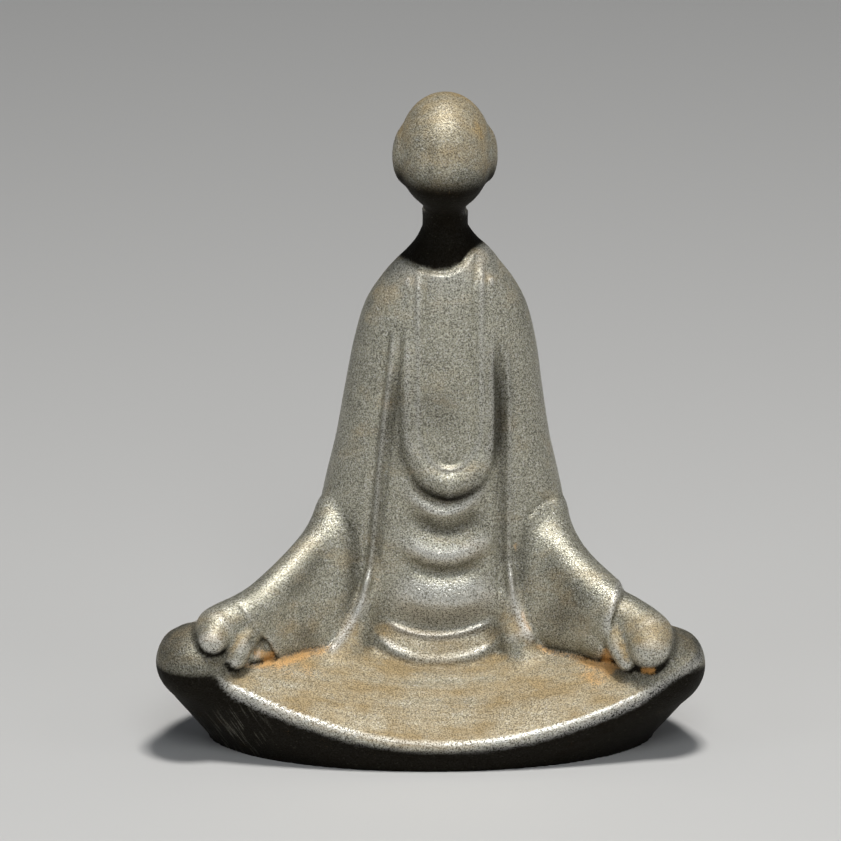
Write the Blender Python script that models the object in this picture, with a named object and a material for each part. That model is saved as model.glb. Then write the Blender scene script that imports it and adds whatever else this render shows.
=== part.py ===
"""A seated figure in meditation, cast in one piece.

A smooth head without features stands on a thin neck. A robe with wide sleeves falls
from the shoulders, the hands rest on the raised knees, and the crossed legs form a
shallow lap like a boat, which stands on its flat underside.

The figure faces -Y and +Z is up. The foot stands on z = 0. The proportions and the
carving are shares of the height: a UNIT is a hundredth of it, and every size below is
in units. Masses are fused by one smooth field, which is negative inside the metal, and
folds drawn on the front then raise or sink the skin.
"""

import math
from dataclasses import dataclass

import bmesh
import bpy
import numpy as np
from mathutils import Euler, Matrix, Vector

# The driving size, in metres.
FIGURE_HEIGHT = 0.100

# The skin: how fine it is modelled, and the most triangles it may keep.
ROUGH_GRAIN = 1.1
SKIN_GRAIN = 0.62
MOST_TRIANGLES = 9400
ROUGH_STEPS = 14
FINE_STEPS = 4
LONGEST_STEP = 0.9
CLOSE_BY = 8.0
FOOT_SNAP = 0.3
SHARP_ANGLE = math.radians(50)

# The finish.
IRON_COLOUR = (0.19, 0.165, 0.125, 1.0)
IRON_ROUGHNESS = 0.5
IRON_METALLIC = 0.6

# Head, bowed a little and turned a little to the figure's left.
HEAD_TURN = math.radians(-10)
HEAD_BOW = math.radians(6)
SKULL = ((2.1, 0.2, 90.4), (6.75, 7.2, 8.2))
JAW = ((2.1, -0.5, 87.2), (5.8, 6.1, 5.5))
LEFT_EAR = ((-3.9, 0.4, 88.9), (1.6, 2.5, 3.8))
RIGHT_EAR = ((8.4, 1.2, 88.8), (1.3, 2.0, 3.7))
JAW_BLEND = 2.5
EAR_BLEND = 1.6
UNIT = FIGURE_HEIGHT / (SKULL[0][2] + SKULL[1][2])

# Neck, from inside the shoulders to inside the head.
NECK_PATH = ((2.2, 4.6, 68.0), (2.0, 3.4, 77.0), (2.0, 1.4, 85.0))
NECK_RADII = (2.0, 1.8)
NECK_HEAD_BLEND = 2.4
NECK_ROBE_BLEND = 7.5

# The robe with its upper arms. Each level gives the height, the middle in x, the half
# width, the front, the middle in y, the back and the squareness.
ROBE_LEVELS = (
    (-3.0, 1.0, 19.0, -3.6, 5.0, 16.5, 2.6),
    (10.0, 1.0, 18.6, -3.0, 5.0, 17.0, 2.8),
    (18.0, 1.2, 18.2, -3.5, 5.0, 17.2, 2.9),
    (26.0, 1.4, 17.8, -4.3, 5.0, 17.0, 2.8),
    (33.0, 1.7, 18.1, -4.5, 4.8, 16.4, 2.6),
    (38.0, 1.75, 17.3, -4.6, 4.7, 15.8, 2.4),
    (44.7, 1.8, 15.8, -4.6, 4.6, 15.0, 2.3),
    (52.2, 1.9, 14.6, -4.3, 4.4, 14.0, 2.3),
    (59.6, 2.1, 13.4, -3.8, 4.2, 13.0, 2.3),
    (65.2, 2.2, 11.9, -3.1, 4.2, 11.9, 2.2),
    (68.9, 2.35, 9.85, -2.4, 4.2, 10.8, 2.2),
    (71.4, 2.45, 7.85, -1.6, 4.2, 9.6, 2.1),
    (73.6, 2.85, 5.6, -0.4, 4.0, 8.0, 2.0),
    (75.4, 2.65, 3.2, 1.0, 3.8, 6.4, 2.0),
    (77.4, 2.3, 1.0, 2.6, 3.6, 4.6, 2.0),
)

# The lap, a hull like a boat under the crossed legs, with levels as the robe's.
LAP_LEVELS = (
    (-3.0, 0.0, 31.6, -17.8, -1.0, 18.4, 2.0),
    (0.0, 0.0, 32.9, -18.6, -1.0, 19.2, 2.0),
    (5.0, 0.1, 36.2, -20.3, -3.5, 20.0, 2.2),
    (10.5, 0.1, 39.1, -20.3, -8.0, 19.4, 2.6),
    (16.0, 0.1, 39.5, -19.6, -12.0, 17.0, 2.8),
    (21.0, 0.0, 37.0, -18.6, -12.0, 14.0, 2.8),
)
LAP_BACK_SQUARENESS = 1.8
RIM_LOW = 4.2
RIM_MIDDLE = 2.0
RIM_EASE = 5.0
RIM_CURVE = 0.0082
RIM_FRONT = -20.2
RIM_SWEEP = 0.0022
RIM_YAW = 0.03
RIM_ROUND = 1.4
LAP_HIGH = 16.2
LAP_HIGH_SPREAD = 0.06
LAP_REACH = 19.6
LAP_REACH_SPREAD = 0.36
LAP_REACH_LEAST = 9.0

# The hem, a layer of cloth that lies on the lap before the belly and gets thicker toward
# it and toward the sides. Its outline has the values of a level, without the height.
HEM_OUTLINE = (1.0, 12.6, -6.4, 5.0, 12.0, 2.9)
HEM_THICK = 0.9
HEM_RISE = 0.5
HEM_SPREAD = 0.004
HEM_ROUND = 0.6
HEM_BLEND = 1.4

# Knees: centre and radii.
LEFT_KNEE = ((-34.4, -12.6, 15.1), (5.9, 6.2, 5.8))
RIGHT_KNEE = ((34.5, -10.6, 14.0), (5.7, 6.2, 5.7))
KNEE_BLEND = 2.0

# Sleeves: cloth that hangs from the ridge over the forearm down to its foot on the lap,
# with its inner edge beside the belly and the cloth that rests on the thigh behind, all
# with a radius at each corner. The cloth is cut off along the line of the cuff.
LEFT_RIDGE = ((-14.1, 1.8, 33.0), (-19.6, -4.5, 27.5), (-26.1, -10.7, 22.9), (-30.3, -13.9, 20.6))
LEFT_INNER = ((-14.8, 1.2, 34.6), (-14.0, -1.2, 30.0), (-13.5, -2.4, 25.0), (-14.6, -2.6, 19.0))
LEFT_FOOT = ((-15.6, -2.0, 16.7), (-18.0, -4.4, 16.2), (-21.6, -6.8, 15.9), (-25.5, -10.2, 15.6))
LEFT_REST = ((-15.0, 2.5, 19.8), (-20.8, -2.6, 18.8), (-27.2, -7.8, 18.2))
LEFT_RIDGE_RADII = (2.2, 2.5, 2.7, 2.9)
RIGHT_RIDGE = ((16.9, 2.4, 31.5), (20.4, -3.4, 26.9), (27.1, -9.7, 22.4), (31.3, -12.8, 19.8))
RIGHT_INNER = ((18.0, 1.6, 34.6), (15.6, -0.6, 30.2), (15.3, -2.0, 25.0), (16.9, -2.2, 19.0))
RIGHT_FOOT = ((17.0, -1.6, 17.2), (20.2, -3.9, 16.6), (24.2, -6.3, 16.0), (28.0, -9.2, 15.6))
RIGHT_REST = ((16.2, 2.8, 19.8), (22.0, -2.0, 18.8), (28.4, -6.8, 18.0))
RIGHT_RIDGE_RADII = (3.5, 3.6, 3.5, 3.4)
INNER_RADII = (1.7, 2.4, 2.4, 2.6)
FOOT_RADII = (3.2, 3.3, 2.9, 2.7)
REST_RADII = (6.4, 4.8, 3.2)
SLEEVE_FALLS = 4
FALL_BLEND = 3.0
REST_BLEND = 4.0
SLEEVE_BLEND = 1.2
CUFF_ROUND = 0.7
LAP_BLEND = 1.0

# Hands: a closed mitten from the wrist over the knuckles to the fingertips, the palm that
# rests on the lap under it, and a thumb.
LEFT_HAND = ((-24.5, -9.6, 22.6), (-28.4, -12.4, 21.9), (-31.2, -14.2, 20.7), (-32.1, -17.0, 19.9))
LEFT_HAND_RADII = (3.0, 3.1, 3.4, 2.1)
LEFT_PALM = ((-23.2, -8.3, 16.9), (-26.6, -11.6, 16.5))
LEFT_PALM_RADII = (2.5, 2.4)
LEFT_THUMB = ((-26.4, -12.4, 20.6), (-27.9, -14.9, 18.8), (-28.8, -15.5, 16.8))
LEFT_THUMB_RADII = (2.3, 1.9)
RIGHT_HAND = ((26.0, -8.6, 22.4), (29.4, -10.4, 21.0), (32.0, -12.8, 19.2), (32.4, -14.6, 17.8))
RIGHT_HAND_RADII = (3.1, 3.2, 3.7, 3.3)
RIGHT_PALM = ((25.0, -8.6, 17.6), (30.6, -11.6, 16.6))
RIGHT_PALM_RADII = (3.0, 2.7)
RIGHT_THUMB = ((26.6, -11.4, 20.2), (27.6, -13.0, 17.8), (28.9, -14.2, 15.7))
RIGHT_THUMB_RADII = (1.9, 1.5)
HAND_BLEND = 0.9
THUMB_BLEND = 0.6

# Collar: a roll of cloth in the shape of a U, flat at the sides and thick below. Pairs
# hold the values at the sides and at the bottom. Above its end it thins out to a share.
COLLAR_MIDDLE = 2.8
COLLAR_HALF_WIDTH = 5.9
COLLAR_TOP = 70.0
COLLAR_BEND = 48.5
COLLAR_LOW = 39.8
COLLAR_RADII = (1.35, 2.75)
COLLAR_SUNK = (0.68, 0.5)
COLLAR_END = 60.0
COLLAR_END_SHARE = 0.3
COLLAR_BLEND = 0.5

# Gussets: webs of cloth from the open robe's edges down to the lap, beside the sleeves.
LEFT_WEB = (
    (-9.0, -2.9, 25.2), (-9.9, -3.2, 21.0), (-11.2, -3.7, 17.4), (-12.3, -4.7, 15.0), (-13.6, -6.0, 13.3)
)
RIGHT_WEB = (
    (11.6, -2.9, 26.0), (11.9, -2.9, 21.8), (12.4, -3.4, 18.4), (12.9, -4.3, 16.2), (13.9, -5.2, 13.9)
)
WEB_RADII = (1.0, 1.9, 2.4, 2.6, 2.0)
WEB_BLEND = 2.2

# The front is drawn as it is seen from this far above. A drawing has x across and, up,
# the height in that view above the point of the ground this far before the middle.
SIGHT = math.radians(18)
SIGHT_BACK = 11.8

# Edges of the open robe beside the belly, with a groove along them, and the crests that
# run on from them down to the lap, as drawn.
LEFT_EDGE = ((-5.2, 64.0), (-5.9, 57.0), (-7.1, 46.8), (-8.2, 35.0), (-9.0, 27.5), (-10.2, 22.4))
RIGHT_EDGE = ((10.9, 62.0), (11.5, 52.0), (11.5, 38.0), (11.6, 28.0), (12.3, 23.0))
EDGE_WIDTH = 0.6
EDGE_HEIGHT = 0.4
EDGE_DEPTH = 0.35
EDGE_FADE = 0.12
EDGE_GROOVE_GAP = 1.1
EDGE_GROOVE_FADE = 0.25
SOFT_GROOVE_WIDTH = 0.95
LEFT_GUSSET = ((-9.0, 27.5), (-10.2, 22.8), (-11.8, 19.6), (-13.4, 17.2), (-15.2, 15.0))
RIGHT_GUSSET = ((11.6, 28.0), (12.2, 23.6), (13.2, 20.6), (14.0, 18.6), (15.4, 16.6))
GUSSET_WIDTH = 0.6
GUSSET_HEIGHT = 0.7
GUSSET_FADE = 0.1

# The edge of the neckline, as drawn, with the side of the chest raised.
NECKLINE = ((8.8, 76.4), (5.9, 74.4), (4.5, 72.6), (2.6, 71.5), (0.2, 71.5), (-2.1, 72.3), (-5.4, 74.0))
NECKLINE_WIDTH = 0.45
NECKLINE_DEPTH = 0.4
NECKLINE_STEP = 0.4
NECKLINE_REACH = 3.0
NECKLINE_FADE = 0.06

# Folds that hang across the belly: how low each hangs, its sag, half width, width and
# height.
SWAG_MIDDLE = 2.0
SWAG_FADE = 0.35
SWAGS = (
    (36.0, 6.2, 7.6, 0.8, 0.55),
    (33.0, 5.8, 8.2, 1.2, -0.8),
    (29.5, 5.0, 8.6, 1.3, 0.75),
    (26.8, 4.2, 8.8, 1.1, -0.6),
    (23.0, 2.6, 9.0, 2.5, 1.3),
)

# Soft folds down the back: how far from the middle each starts and ends, and its height.
BACK_MIDDLE = 1.8
BACK_FOLD_TOP = 64.0
BACK_FOLD_FOOT = 4.0
BACK_FOLD_WIDTH = 1.7
BACK_FOLD_SPREAD = 1.3
BACK_FOLD_BEND = 40.0
BACK_FOLD_FADE = 0.45
BACK_FOLDS = ((-6.5, -15.5, 0.7), (-4.0, -10.0, -0.6), (0.0, 0.5, 0.8), (4.2, 10.5, -0.6),
              (6.6, 16.0, 0.7))

# The line where the belly meets the hem, as drawn.
HEM_FOOT = ((-7.5, 20.4), (-3.1, 18.2), (1.5, 17.7), (6.0, 18.6), (9.7, 20.4))
HEM_FOOT_WIDTH = 0.5
HEM_FOOT_LIP = 0.35

# Cuffs, as drawn, with the sleeve on the left of the line.
LEFT_CUFF = ((-28.6, 23.4), (-27.4, 22.0), (-26.0, 19.8), (-24.8, 18.0), (-23.8, 16.3), (-22.4, 14.4))
RIGHT_CUFF = ((25.2, 15.2), (25.4, 17.4), (25.9, 19.5), (26.7, 21.4), (27.8, 23.8))
CUFF_WIDTH = 0.4
CUFF_DEPTH = 0.25


def rounded_path(corners, steps=6):
    """Return points along a smooth curve through the corners."""
    corners = np.asarray(corners, dtype=float)
    ends = np.vstack([2 * corners[0] - corners[1], corners, 2 * corners[-1] - corners[-2]])
    points = []
    for before, start, stop, after in zip(ends, ends[1:], ends[2:], ends[3:]):
        for share in np.arange(steps) / steps:
            leave, arrive = (stop - before) / 2, (after - start) / 2
            bend = 3 * (stop - start) - 2 * leave - arrive
            turn = 2 * (start - stop) + leave + arrive
            points.append(start + share * (leave + share * (bend + share * turn)))
    return np.array(points + [corners[-1]])


def smooth_union(one, other, blend):
    """Fuse two fields with a fillet of about the blend's size."""
    share = np.maximum(blend - np.abs(one - other), 0.0) / blend
    return np.minimum(one, other) - share * share * blend / 4


def smooth_meet(one, other, blend):
    """Keep what lies in both fields, with the edge between them rounded."""
    return -smooth_union(-one, -other, blend)


def as_drawn(points):
    """Return the points as they are seen from the front, across and up."""
    up = points[:, 2] * math.cos(SIGHT) + (points[:, 1] + SIGHT_BACK) * math.sin(SIGHT)
    return np.column_stack([points[:, 0], up])


def smooth_step(values, low, high):
    """Rise from 0 at low to 1 at high without a corner."""
    share = np.clip((values - low) / (high - low), 0.0, 1.0)
    return share * share * (3 - 2 * share)


@dataclass
class Ball:
    """An ellipsoid, turned by Euler angles."""

    centre: tuple
    radii: tuple
    turn: tuple = (0.0, 0.0, 0.0)

    def field(self, points):
        """Return about how far each point lies outside the ball."""
        turn = np.array(Euler(self.turn).to_matrix())
        local = (points - np.array(self.centre)) @ turn
        scaled = local / np.array(self.radii)
        near = np.linalg.norm(scaled, axis=1) + 1e-9
        slope = np.linalg.norm(scaled / np.array(self.radii), axis=1) + 1e-9
        return near * (near - 1) / slope

    def rough(self, mesh):
        """Add the ball to a mesh."""
        place = Matrix.LocRotScale(Vector(self.centre), Euler(self.turn), Vector(self.radii))
        bmesh.ops.create_icosphere(mesh, subdivisions=4, radius=1.0, matrix=place)


@dataclass
class Limb:
    """A round bar along a curve, with radii at even shares of its length."""

    corners: tuple
    radii: tuple

    def course(self):
        """Return the points and the radii along the bar."""
        path = rounded_path(self.corners)
        shares = np.linspace(0.0, 1.0, len(path))
        return path, np.interp(shares, np.linspace(0.0, 1.0, len(self.radii)), self.radii)

    def field(self, points):
        """Return how far each point lies outside the bar, roughly where it is far."""
        path, radii = self.course()
        low = path.min(axis=0) - radii.max()
        high = path.max(axis=0) + radii.max()
        away = np.maximum(np.maximum(low - points, points - high), 0.0)
        result = np.linalg.norm(away, axis=1)
        close = result < CLOSE_BY
        spots = points[close]
        nearest = np.full(len(spots), np.inf)
        for index in range(len(path) - 1):
            start, along = path[index], path[index + 1] - path[index]
            share = np.clip((spots - start) @ along / (along @ along), 0.0, 1.0)
            gap = np.linalg.norm(spots - start - share[:, None] * along, axis=1)
            radius = radii[index] + share * (radii[index + 1] - radii[index])
            nearest = np.minimum(nearest, gap - radius)
        result[close] = nearest
        return result

    def rough(self, mesh):
        """Add a row of balls along the bar to a mesh."""
        for point, radius in zip(*self.course()):
            place = Matrix.Translation(Vector(point))
            bmesh.ops.create_icosphere(mesh, subdivisions=3, radius=radius, matrix=place)


@dataclass
class Loft:
    """A column of rounded outlines, one at each level."""

    levels: tuple
    back_squareness: float = 0.0

    def outline(self, heights):
        """Return the outline's values at each height, smooth between the levels."""
        fine = rounded_path(self.levels)
        return [np.interp(heights, fine[:, 0], fine[:, column]) for column in range(1, 7)]

    def field(self, points):
        """Return about how far each point lies outside the column."""
        middle, half_width, front, waist, back, square = self.outline(points[:, 2])
        across, along = points[:, 0] - middle, points[:, 1] - waist
        behind = along > 0
        depth = np.where(behind, back - waist, waist - front)
        if self.back_squareness:
            square = np.where(behind, self.back_squareness, square)
        share = (np.abs(across) / half_width) ** square + (np.abs(along) / depth) ** square
        share = np.maximum(share, 1e-6) ** (1 / square)
        side = np.hypot(across, along) * (1 - 1 / share)
        side = np.where(share < 0.05, -np.minimum(half_width, depth), side)
        floor, roof = self.levels[0][0], self.levels[-1][0]
        return np.maximum(side, np.maximum(floor - points[:, 2], points[:, 2] - roof))

    def rough(self, mesh):
        """Add the column to a mesh, as rings bridged from level to level."""
        rings = []
        for height in [level[0] for level in self.levels]:
            middle, half_width, front, waist, back, _ = self.outline(height)
            place = Matrix.Translation((middle, waist, height))
            ring = bmesh.ops.create_circle(mesh, segments=48, radius=1.0, matrix=place)["verts"]
            for vert in ring:
                across, along = vert.co.x - middle, vert.co.y - waist
                depth = back - waist if along > 0 else waist - front
                vert.co.x, vert.co.y = middle + across * half_width, waist + along * depth
            rings.append([edge for edge in mesh.edges if all(v in ring for v in edge.verts)])
        for lower, upper in zip(rings, rings[1:]):
            bmesh.ops.bridge_loops(mesh, edges=lower + upper)
        for ring in (rings[0], rings[-1]):
            bmesh.ops.contextual_create(mesh, geom=ring)


class Lap(Loft):
    """The hull of the crossed legs, hollowed on top from its rim to the robe."""

    def top(self, across, along):
        """Return the height and the steepness of the hollow at places on the plan."""
        offset = np.sqrt((across - RIM_MIDDLE) ** 2 + RIM_EASE**2)
        rim = RIM_LOW + RIM_CURVE * offset**2
        rim_front = RIM_FRONT + RIM_SWEEP * offset**2 + RIM_YAW * across
        rise = np.maximum(LAP_HIGH + LAP_HIGH_SPREAD * offset - rim, 0.5)
        reach = np.maximum(LAP_REACH - LAP_REACH_SPREAD * offset, LAP_REACH_LEAST)
        return rim + rise * np.tanh((along - rim_front) / reach), rise / reach

    def field(self, points):
        """Return about how far each point lies outside the hull."""
        top, slope = self.top(points[:, 0], points[:, 1])
        above = (points[:, 2] - top) / np.sqrt(1 + slope * slope)
        return smooth_meet(super().field(points), above, RIM_ROUND)

    def rough(self, mesh):
        """Add the column to a mesh, pressed down to the hollow."""
        column = bmesh.new()
        super().rough(column)
        cap = max(column.faces, key=lambda face: face.calc_center_median().z)
        bmesh.ops.poke(column, faces=[cap])
        for _ in range(3):
            high = {edge for edge in column.edges if all(v.co.z > 16 for v in edge.verts)}
            bmesh.ops.subdivide_edges(column, edges=list(high), cuts=1, use_grid_fill=True)
        for vert in column.verts:
            vert.co.z = min(vert.co.z, float(self.top(vert.co.x, vert.co.y)[0]))
        pressed = bpy.data.meshes.new("lap")
        column.to_mesh(pressed)
        column.free()
        mesh.from_mesh(pressed)
        bpy.data.meshes.remove(pressed)


class Hem(Lap):
    """The layer of cloth that follows the hollow of the lap, a little above it."""

    def field(self, points):
        """Return about how far each point lies outside the layer."""
        middle, _, front, *_ = HEM_OUTLINE
        across, along = points[:, 0], points[:, 1]
        top, slope = self.top(across, along)
        thick = HEM_THICK + HEM_RISE * (along - front) + HEM_SPREAD * (across - middle) ** 2
        above = (points[:, 2] - top) / np.sqrt(1 + slope * slope) - thick
        return smooth_meet(Loft.field(self, points), above, HEM_ROUND)

    def rough(self, mesh):
        """Add nothing: the layer grows out of the lap."""


@dataclass
class Sleeve:
    """Cloth that hangs from a ridge to its foot, fused with a rest, and cut at the cuff."""

    ridge: Limb
    foot: Limb
    inner: Limb
    rest: Limb
    cuff: tuple

    def falls(self):
        """Return the bars of cloth from the ridge to the foot."""
        bars = []
        for share in np.linspace(0.0, 1.0, SLEEVE_FALLS):
            corners = (1 - share) * np.array(self.ridge.corners) + share * np.array(self.foot.corners)
            radii = (1 - share) * np.array(self.ridge.radii) + share * np.array(self.foot.radii)
            bars.append(Limb(tuple(map(tuple, corners)), tuple(radii)))
        return bars

    def past_cuff(self, points):
        """Return how far each point lies past the straight line between the cuff's ends."""
        start, stop = np.array(self.cuff[0]), np.array(self.cuff[-1])
        along = (stop - start) / np.linalg.norm(stop - start)
        offset = as_drawn(points) - start
        return along[1] * offset[:, 0] - along[0] * offset[:, 1]

    def field(self, points):
        """Return about how far each point lies outside the sleeve."""
        field = self.inner.field(points)
        for bar in self.falls():
            field = smooth_union(field, bar.field(points), FALL_BLEND)
        field = smooth_union(field, self.rest.field(points), REST_BLEND)
        return smooth_meet(field, self.past_cuff(points), CUFF_ROUND)

    def rough(self, mesh):
        """Add the balls of the cloth that lie before the cuff to a mesh."""
        for bar in [*self.falls(), self.inner, self.rest]:
            path, radii = bar.course()
            for point, radius, past in zip(path, radii, self.past_cuff(path)):
                if past < -0.6 * radius:
                    place = Matrix.Translation(Vector(point))
                    bmesh.ops.create_icosphere(mesh, subdivisions=3, radius=radius, matrix=place)


@dataclass
class Fold:
    """A drawn line: a crest where the height is positive, else a groove.

    A step raises the cloth on the left of the line, as it is drawn, over its reach.
    """

    corners: tuple
    width: float
    height: float
    step: float = 0.0
    reach: float = 3.0
    fade: float = 0.2

    def relief(self, drawn):
        """Return how far the line lifts the skin at each drawn point."""
        path = rounded_path(self.corners)
        margin = 3 * self.width + (4 * self.reach if self.step else 0.0)
        low, high = path.min(axis=0) - margin, path.max(axis=0) + margin
        near = np.all((drawn > low) & (drawn < high), axis=1)
        spots = drawn[near]
        gap = np.full(len(spots), np.inf)
        share, side = np.zeros(len(spots)), np.ones(len(spots))
        for index in range(len(path) - 1):
            start, along = path[index], path[index + 1] - path[index]
            offset = spots - start
            part = np.clip(offset @ along / (along @ along), 0.0, 1.0)
            distance = np.linalg.norm(offset - part[:, None] * along, axis=1)
            closer = distance < gap
            gap = np.where(closer, distance, gap)
            share = np.where(closer, (index + part) / (len(path) - 1), share)
            left = along[0] * offset[:, 1] - along[1] * offset[:, 0]
            side = np.where(closer, np.sign(left), side)
        ends = np.minimum(smooth_step(share, 0.0, self.fade), smooth_step(1 - share, 0.0, self.fade))
        lift = self.height * np.exp(-((gap / self.width) ** 2))
        if self.step:
            signed = side * gap
            raised = 0.5 + 0.5 * np.tanh(signed / self.width)
            lift += self.step * raised * np.exp(-np.maximum(signed, 0.0) / self.reach)
        result = np.zeros(len(drawn))
        result[near] = lift * ends
        return result


def sleeve(ridge, ridge_radii, foot, inner, rest, cuff):
    """Return a sleeve."""
    edges = ((ridge, ridge_radii), (foot, FOOT_RADII), (inner, INNER_RADII), (rest, REST_RADII))
    return Sleeve(*(Limb(corners, radii) for corners, radii in edges), cuff)


def hem_levels():
    """Return the levels of the hem, whose outline is the same all the way up."""
    heights = [level[0] for level in LAP_LEVELS]
    return tuple((height, *HEM_OUTLINE) for height in heights)


def robe_front(across, height):
    """Return the y of the robe's front at a place seen from the front."""
    middle, half_width, front, waist, _, square = Loft(ROBE_LEVELS).outline(height)
    share = min(abs(across - middle) / half_width, 1.0)
    return waist - (waist - front) * (1 - share**square) ** (1 / square)


def collar():
    """Return the roll of the collar, which follows the robe's front."""
    line = [(-1.0, COLLAR_TOP), (-1.0, (COLLAR_TOP + COLLAR_BEND) / 2)]
    for turn in np.radians(np.arange(0, 181, 30)):
        line.append((-math.cos(turn), COLLAR_BEND - (COLLAR_BEND - COLLAR_LOW) * math.sin(turn)))
    line += [(1.0, (COLLAR_TOP + COLLAR_BEND) / 2), (1.0, COLLAR_TOP)]
    corners, radii = [], []
    for share, height in line:
        low = max(COLLAR_BEND - height, 0.0) / (COLLAR_BEND - COLLAR_LOW)
        radius = np.interp(low**1.5, (0, 1), COLLAR_RADII)
        radius *= np.interp(height, (COLLAR_END, COLLAR_TOP), (1, COLLAR_END_SHARE))
        sunk = np.interp(low, (0, 1), COLLAR_SUNK)
        across = COLLAR_MIDDLE + COLLAR_HALF_WIDTH * share
        corners.append((across, robe_front(across, height) + sunk * radius, height))
        radii.append(radius)
    return Limb(tuple(corners), tuple(radii))


def swag(middle, half_width, low, sag, width, height):
    """Return a fold that hangs as an arc."""
    shares = (-1.0, -0.6, -0.2, 0.2, 0.6, 1.0)
    corners = tuple((middle + half_width * share, low + sag * share * share) for share in shares)
    return Fold(corners, width, height, fade=SWAG_FADE)


def back_folds():
    """Return the folds that fall down the back, drawn as x and height."""
    drawn = []
    for top, foot, height in BACK_FOLDS:
        corners = (
            (BACK_MIDDLE + top, BACK_FOLD_TOP),
            (BACK_MIDDLE + BACK_FOLD_SPREAD * top, BACK_FOLD_BEND),
            (BACK_MIDDLE + foot, BACK_FOLD_FOOT),
        )
        drawn.append(Fold(corners, BACK_FOLD_WIDTH, height, fade=BACK_FOLD_FADE))
    return drawn


def folds():
    """Return every fold drawn on the front."""
    drawn = [
        Fold(LEFT_EDGE, EDGE_WIDTH, EDGE_HEIGHT, fade=EDGE_FADE),
        Fold(shifted(LEFT_EDGE, EDGE_GROOVE_GAP), EDGE_WIDTH, -EDGE_DEPTH, fade=EDGE_GROOVE_FADE),
        Fold(shifted(LEFT_EDGE, -EDGE_GROOVE_GAP), EDGE_WIDTH, -EDGE_DEPTH, fade=EDGE_GROOVE_FADE),
        Fold(RIGHT_EDGE, EDGE_WIDTH, EDGE_HEIGHT, fade=EDGE_FADE),
        Fold(shifted(RIGHT_EDGE, -EDGE_GROOVE_GAP), SOFT_GROOVE_WIDTH, -EDGE_DEPTH, fade=EDGE_GROOVE_FADE),
        Fold(LEFT_GUSSET, GUSSET_WIDTH, GUSSET_HEIGHT, fade=GUSSET_FADE),
        Fold(RIGHT_GUSSET, GUSSET_WIDTH, GUSSET_HEIGHT, fade=GUSSET_FADE),
        Fold(LEFT_CUFF, CUFF_WIDTH, -CUFF_DEPTH),
        Fold(RIGHT_CUFF, CUFF_WIDTH, -CUFF_DEPTH),
        Fold(NECKLINE, NECKLINE_WIDTH, -NECKLINE_DEPTH, NECKLINE_STEP, NECKLINE_REACH, NECKLINE_FADE),
        Fold(HEM_FOOT, HEM_FOOT_WIDTH, HEM_FOOT_LIP),
    ]
    for low, sag, half_width, width, height in SWAGS:
        drawn.append(swag(SWAG_MIDDLE, half_width, low, sag, width, height))
    return drawn


def shifted(corners, across):
    """Return a drawn line moved sideways."""
    return tuple((x + across, up) for x, up in corners)


def carve(points):
    """Lift and sink the skin along the folds of the front and of the back."""
    _, slope = outward(points)
    normals = slope / np.linalg.norm(slope, axis=1)[:, None]
    facing = normals[:, 2] * math.sin(SIGHT) - normals[:, 1] * math.cos(SIGHT)
    drawn = as_drawn(points)
    lift = sum(fold.relief(drawn) for fold in folds()) * smooth_step(facing, 0.05, 0.4)
    behind = sum(fold.relief(points[:, [0, 2]]) for fold in back_folds())
    lift += behind * smooth_step(normals[:, 1], 0.1, 0.5)
    return points + normals * lift[:, None]


def head_parts():
    """Return the masses of the head, each with its fillet to what is already there."""
    turn = (HEAD_BOW, 0.0, HEAD_TURN)
    return [
        (Ball(*SKULL, turn), 0.0),
        (Ball(*JAW, turn), JAW_BLEND),
        (Ball(*LEFT_EAR, turn), EAR_BLEND),
        (Ball(*RIGHT_EAR, turn), EAR_BLEND),
        (Limb(NECK_PATH, NECK_RADII), NECK_HEAD_BLEND),
    ]


def body_parts():
    """Return the masses below the neck, each with its fillet to what is already there."""
    left_sleeve = sleeve(LEFT_RIDGE, LEFT_RIDGE_RADII, LEFT_FOOT, LEFT_INNER, LEFT_REST, LEFT_CUFF)
    right_sleeve = sleeve(
        RIGHT_RIDGE, RIGHT_RIDGE_RADII, RIGHT_FOOT, RIGHT_INNER, RIGHT_REST, RIGHT_CUFF
    )
    return [
        (Loft(ROBE_LEVELS), NECK_ROBE_BLEND),
        (Hem(hem_levels(), LAP_BACK_SQUARENESS), HEM_BLEND),
        (Lap(LAP_LEVELS, LAP_BACK_SQUARENESS), LAP_BLEND),
        (collar(), COLLAR_BLEND),
        (Limb(LEFT_WEB, WEB_RADII), WEB_BLEND),
        (Limb(RIGHT_WEB, WEB_RADII), WEB_BLEND),
        (left_sleeve, SLEEVE_BLEND),
        (right_sleeve, SLEEVE_BLEND),
        (Ball(*LEFT_KNEE), KNEE_BLEND),
        (Ball(*RIGHT_KNEE), KNEE_BLEND),
        (Limb(LEFT_HAND, LEFT_HAND_RADII), HAND_BLEND),
        (Limb(RIGHT_HAND, RIGHT_HAND_RADII), HAND_BLEND),
        (Limb(LEFT_PALM, LEFT_PALM_RADII), HAND_BLEND),
        (Limb(RIGHT_PALM, RIGHT_PALM_RADII), HAND_BLEND),
        (Limb(LEFT_THUMB, LEFT_THUMB_RADII), THUMB_BLEND),
        (Limb(RIGHT_THUMB, RIGHT_THUMB_RADII), THUMB_BLEND),
    ]


def figure_field(points):
    """Return about how far each point lies outside the figure, without its carving."""
    (first, _), *others = head_parts() + body_parts()
    field = first.field(points)
    for mass, blend in others:
        field = smooth_union(field, mass.field(points), blend)
    return field


def outward(points, reach=0.05):
    """Return the field at the points and the slope of the field there."""
    here = figure_field(points)
    slope = np.empty_like(points)
    for axis in range(3):
        shift = np.zeros(3)
        shift[axis] = reach
        slope[:, axis] = (figure_field(points + shift) - here) / reach
    return here, slope


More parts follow.
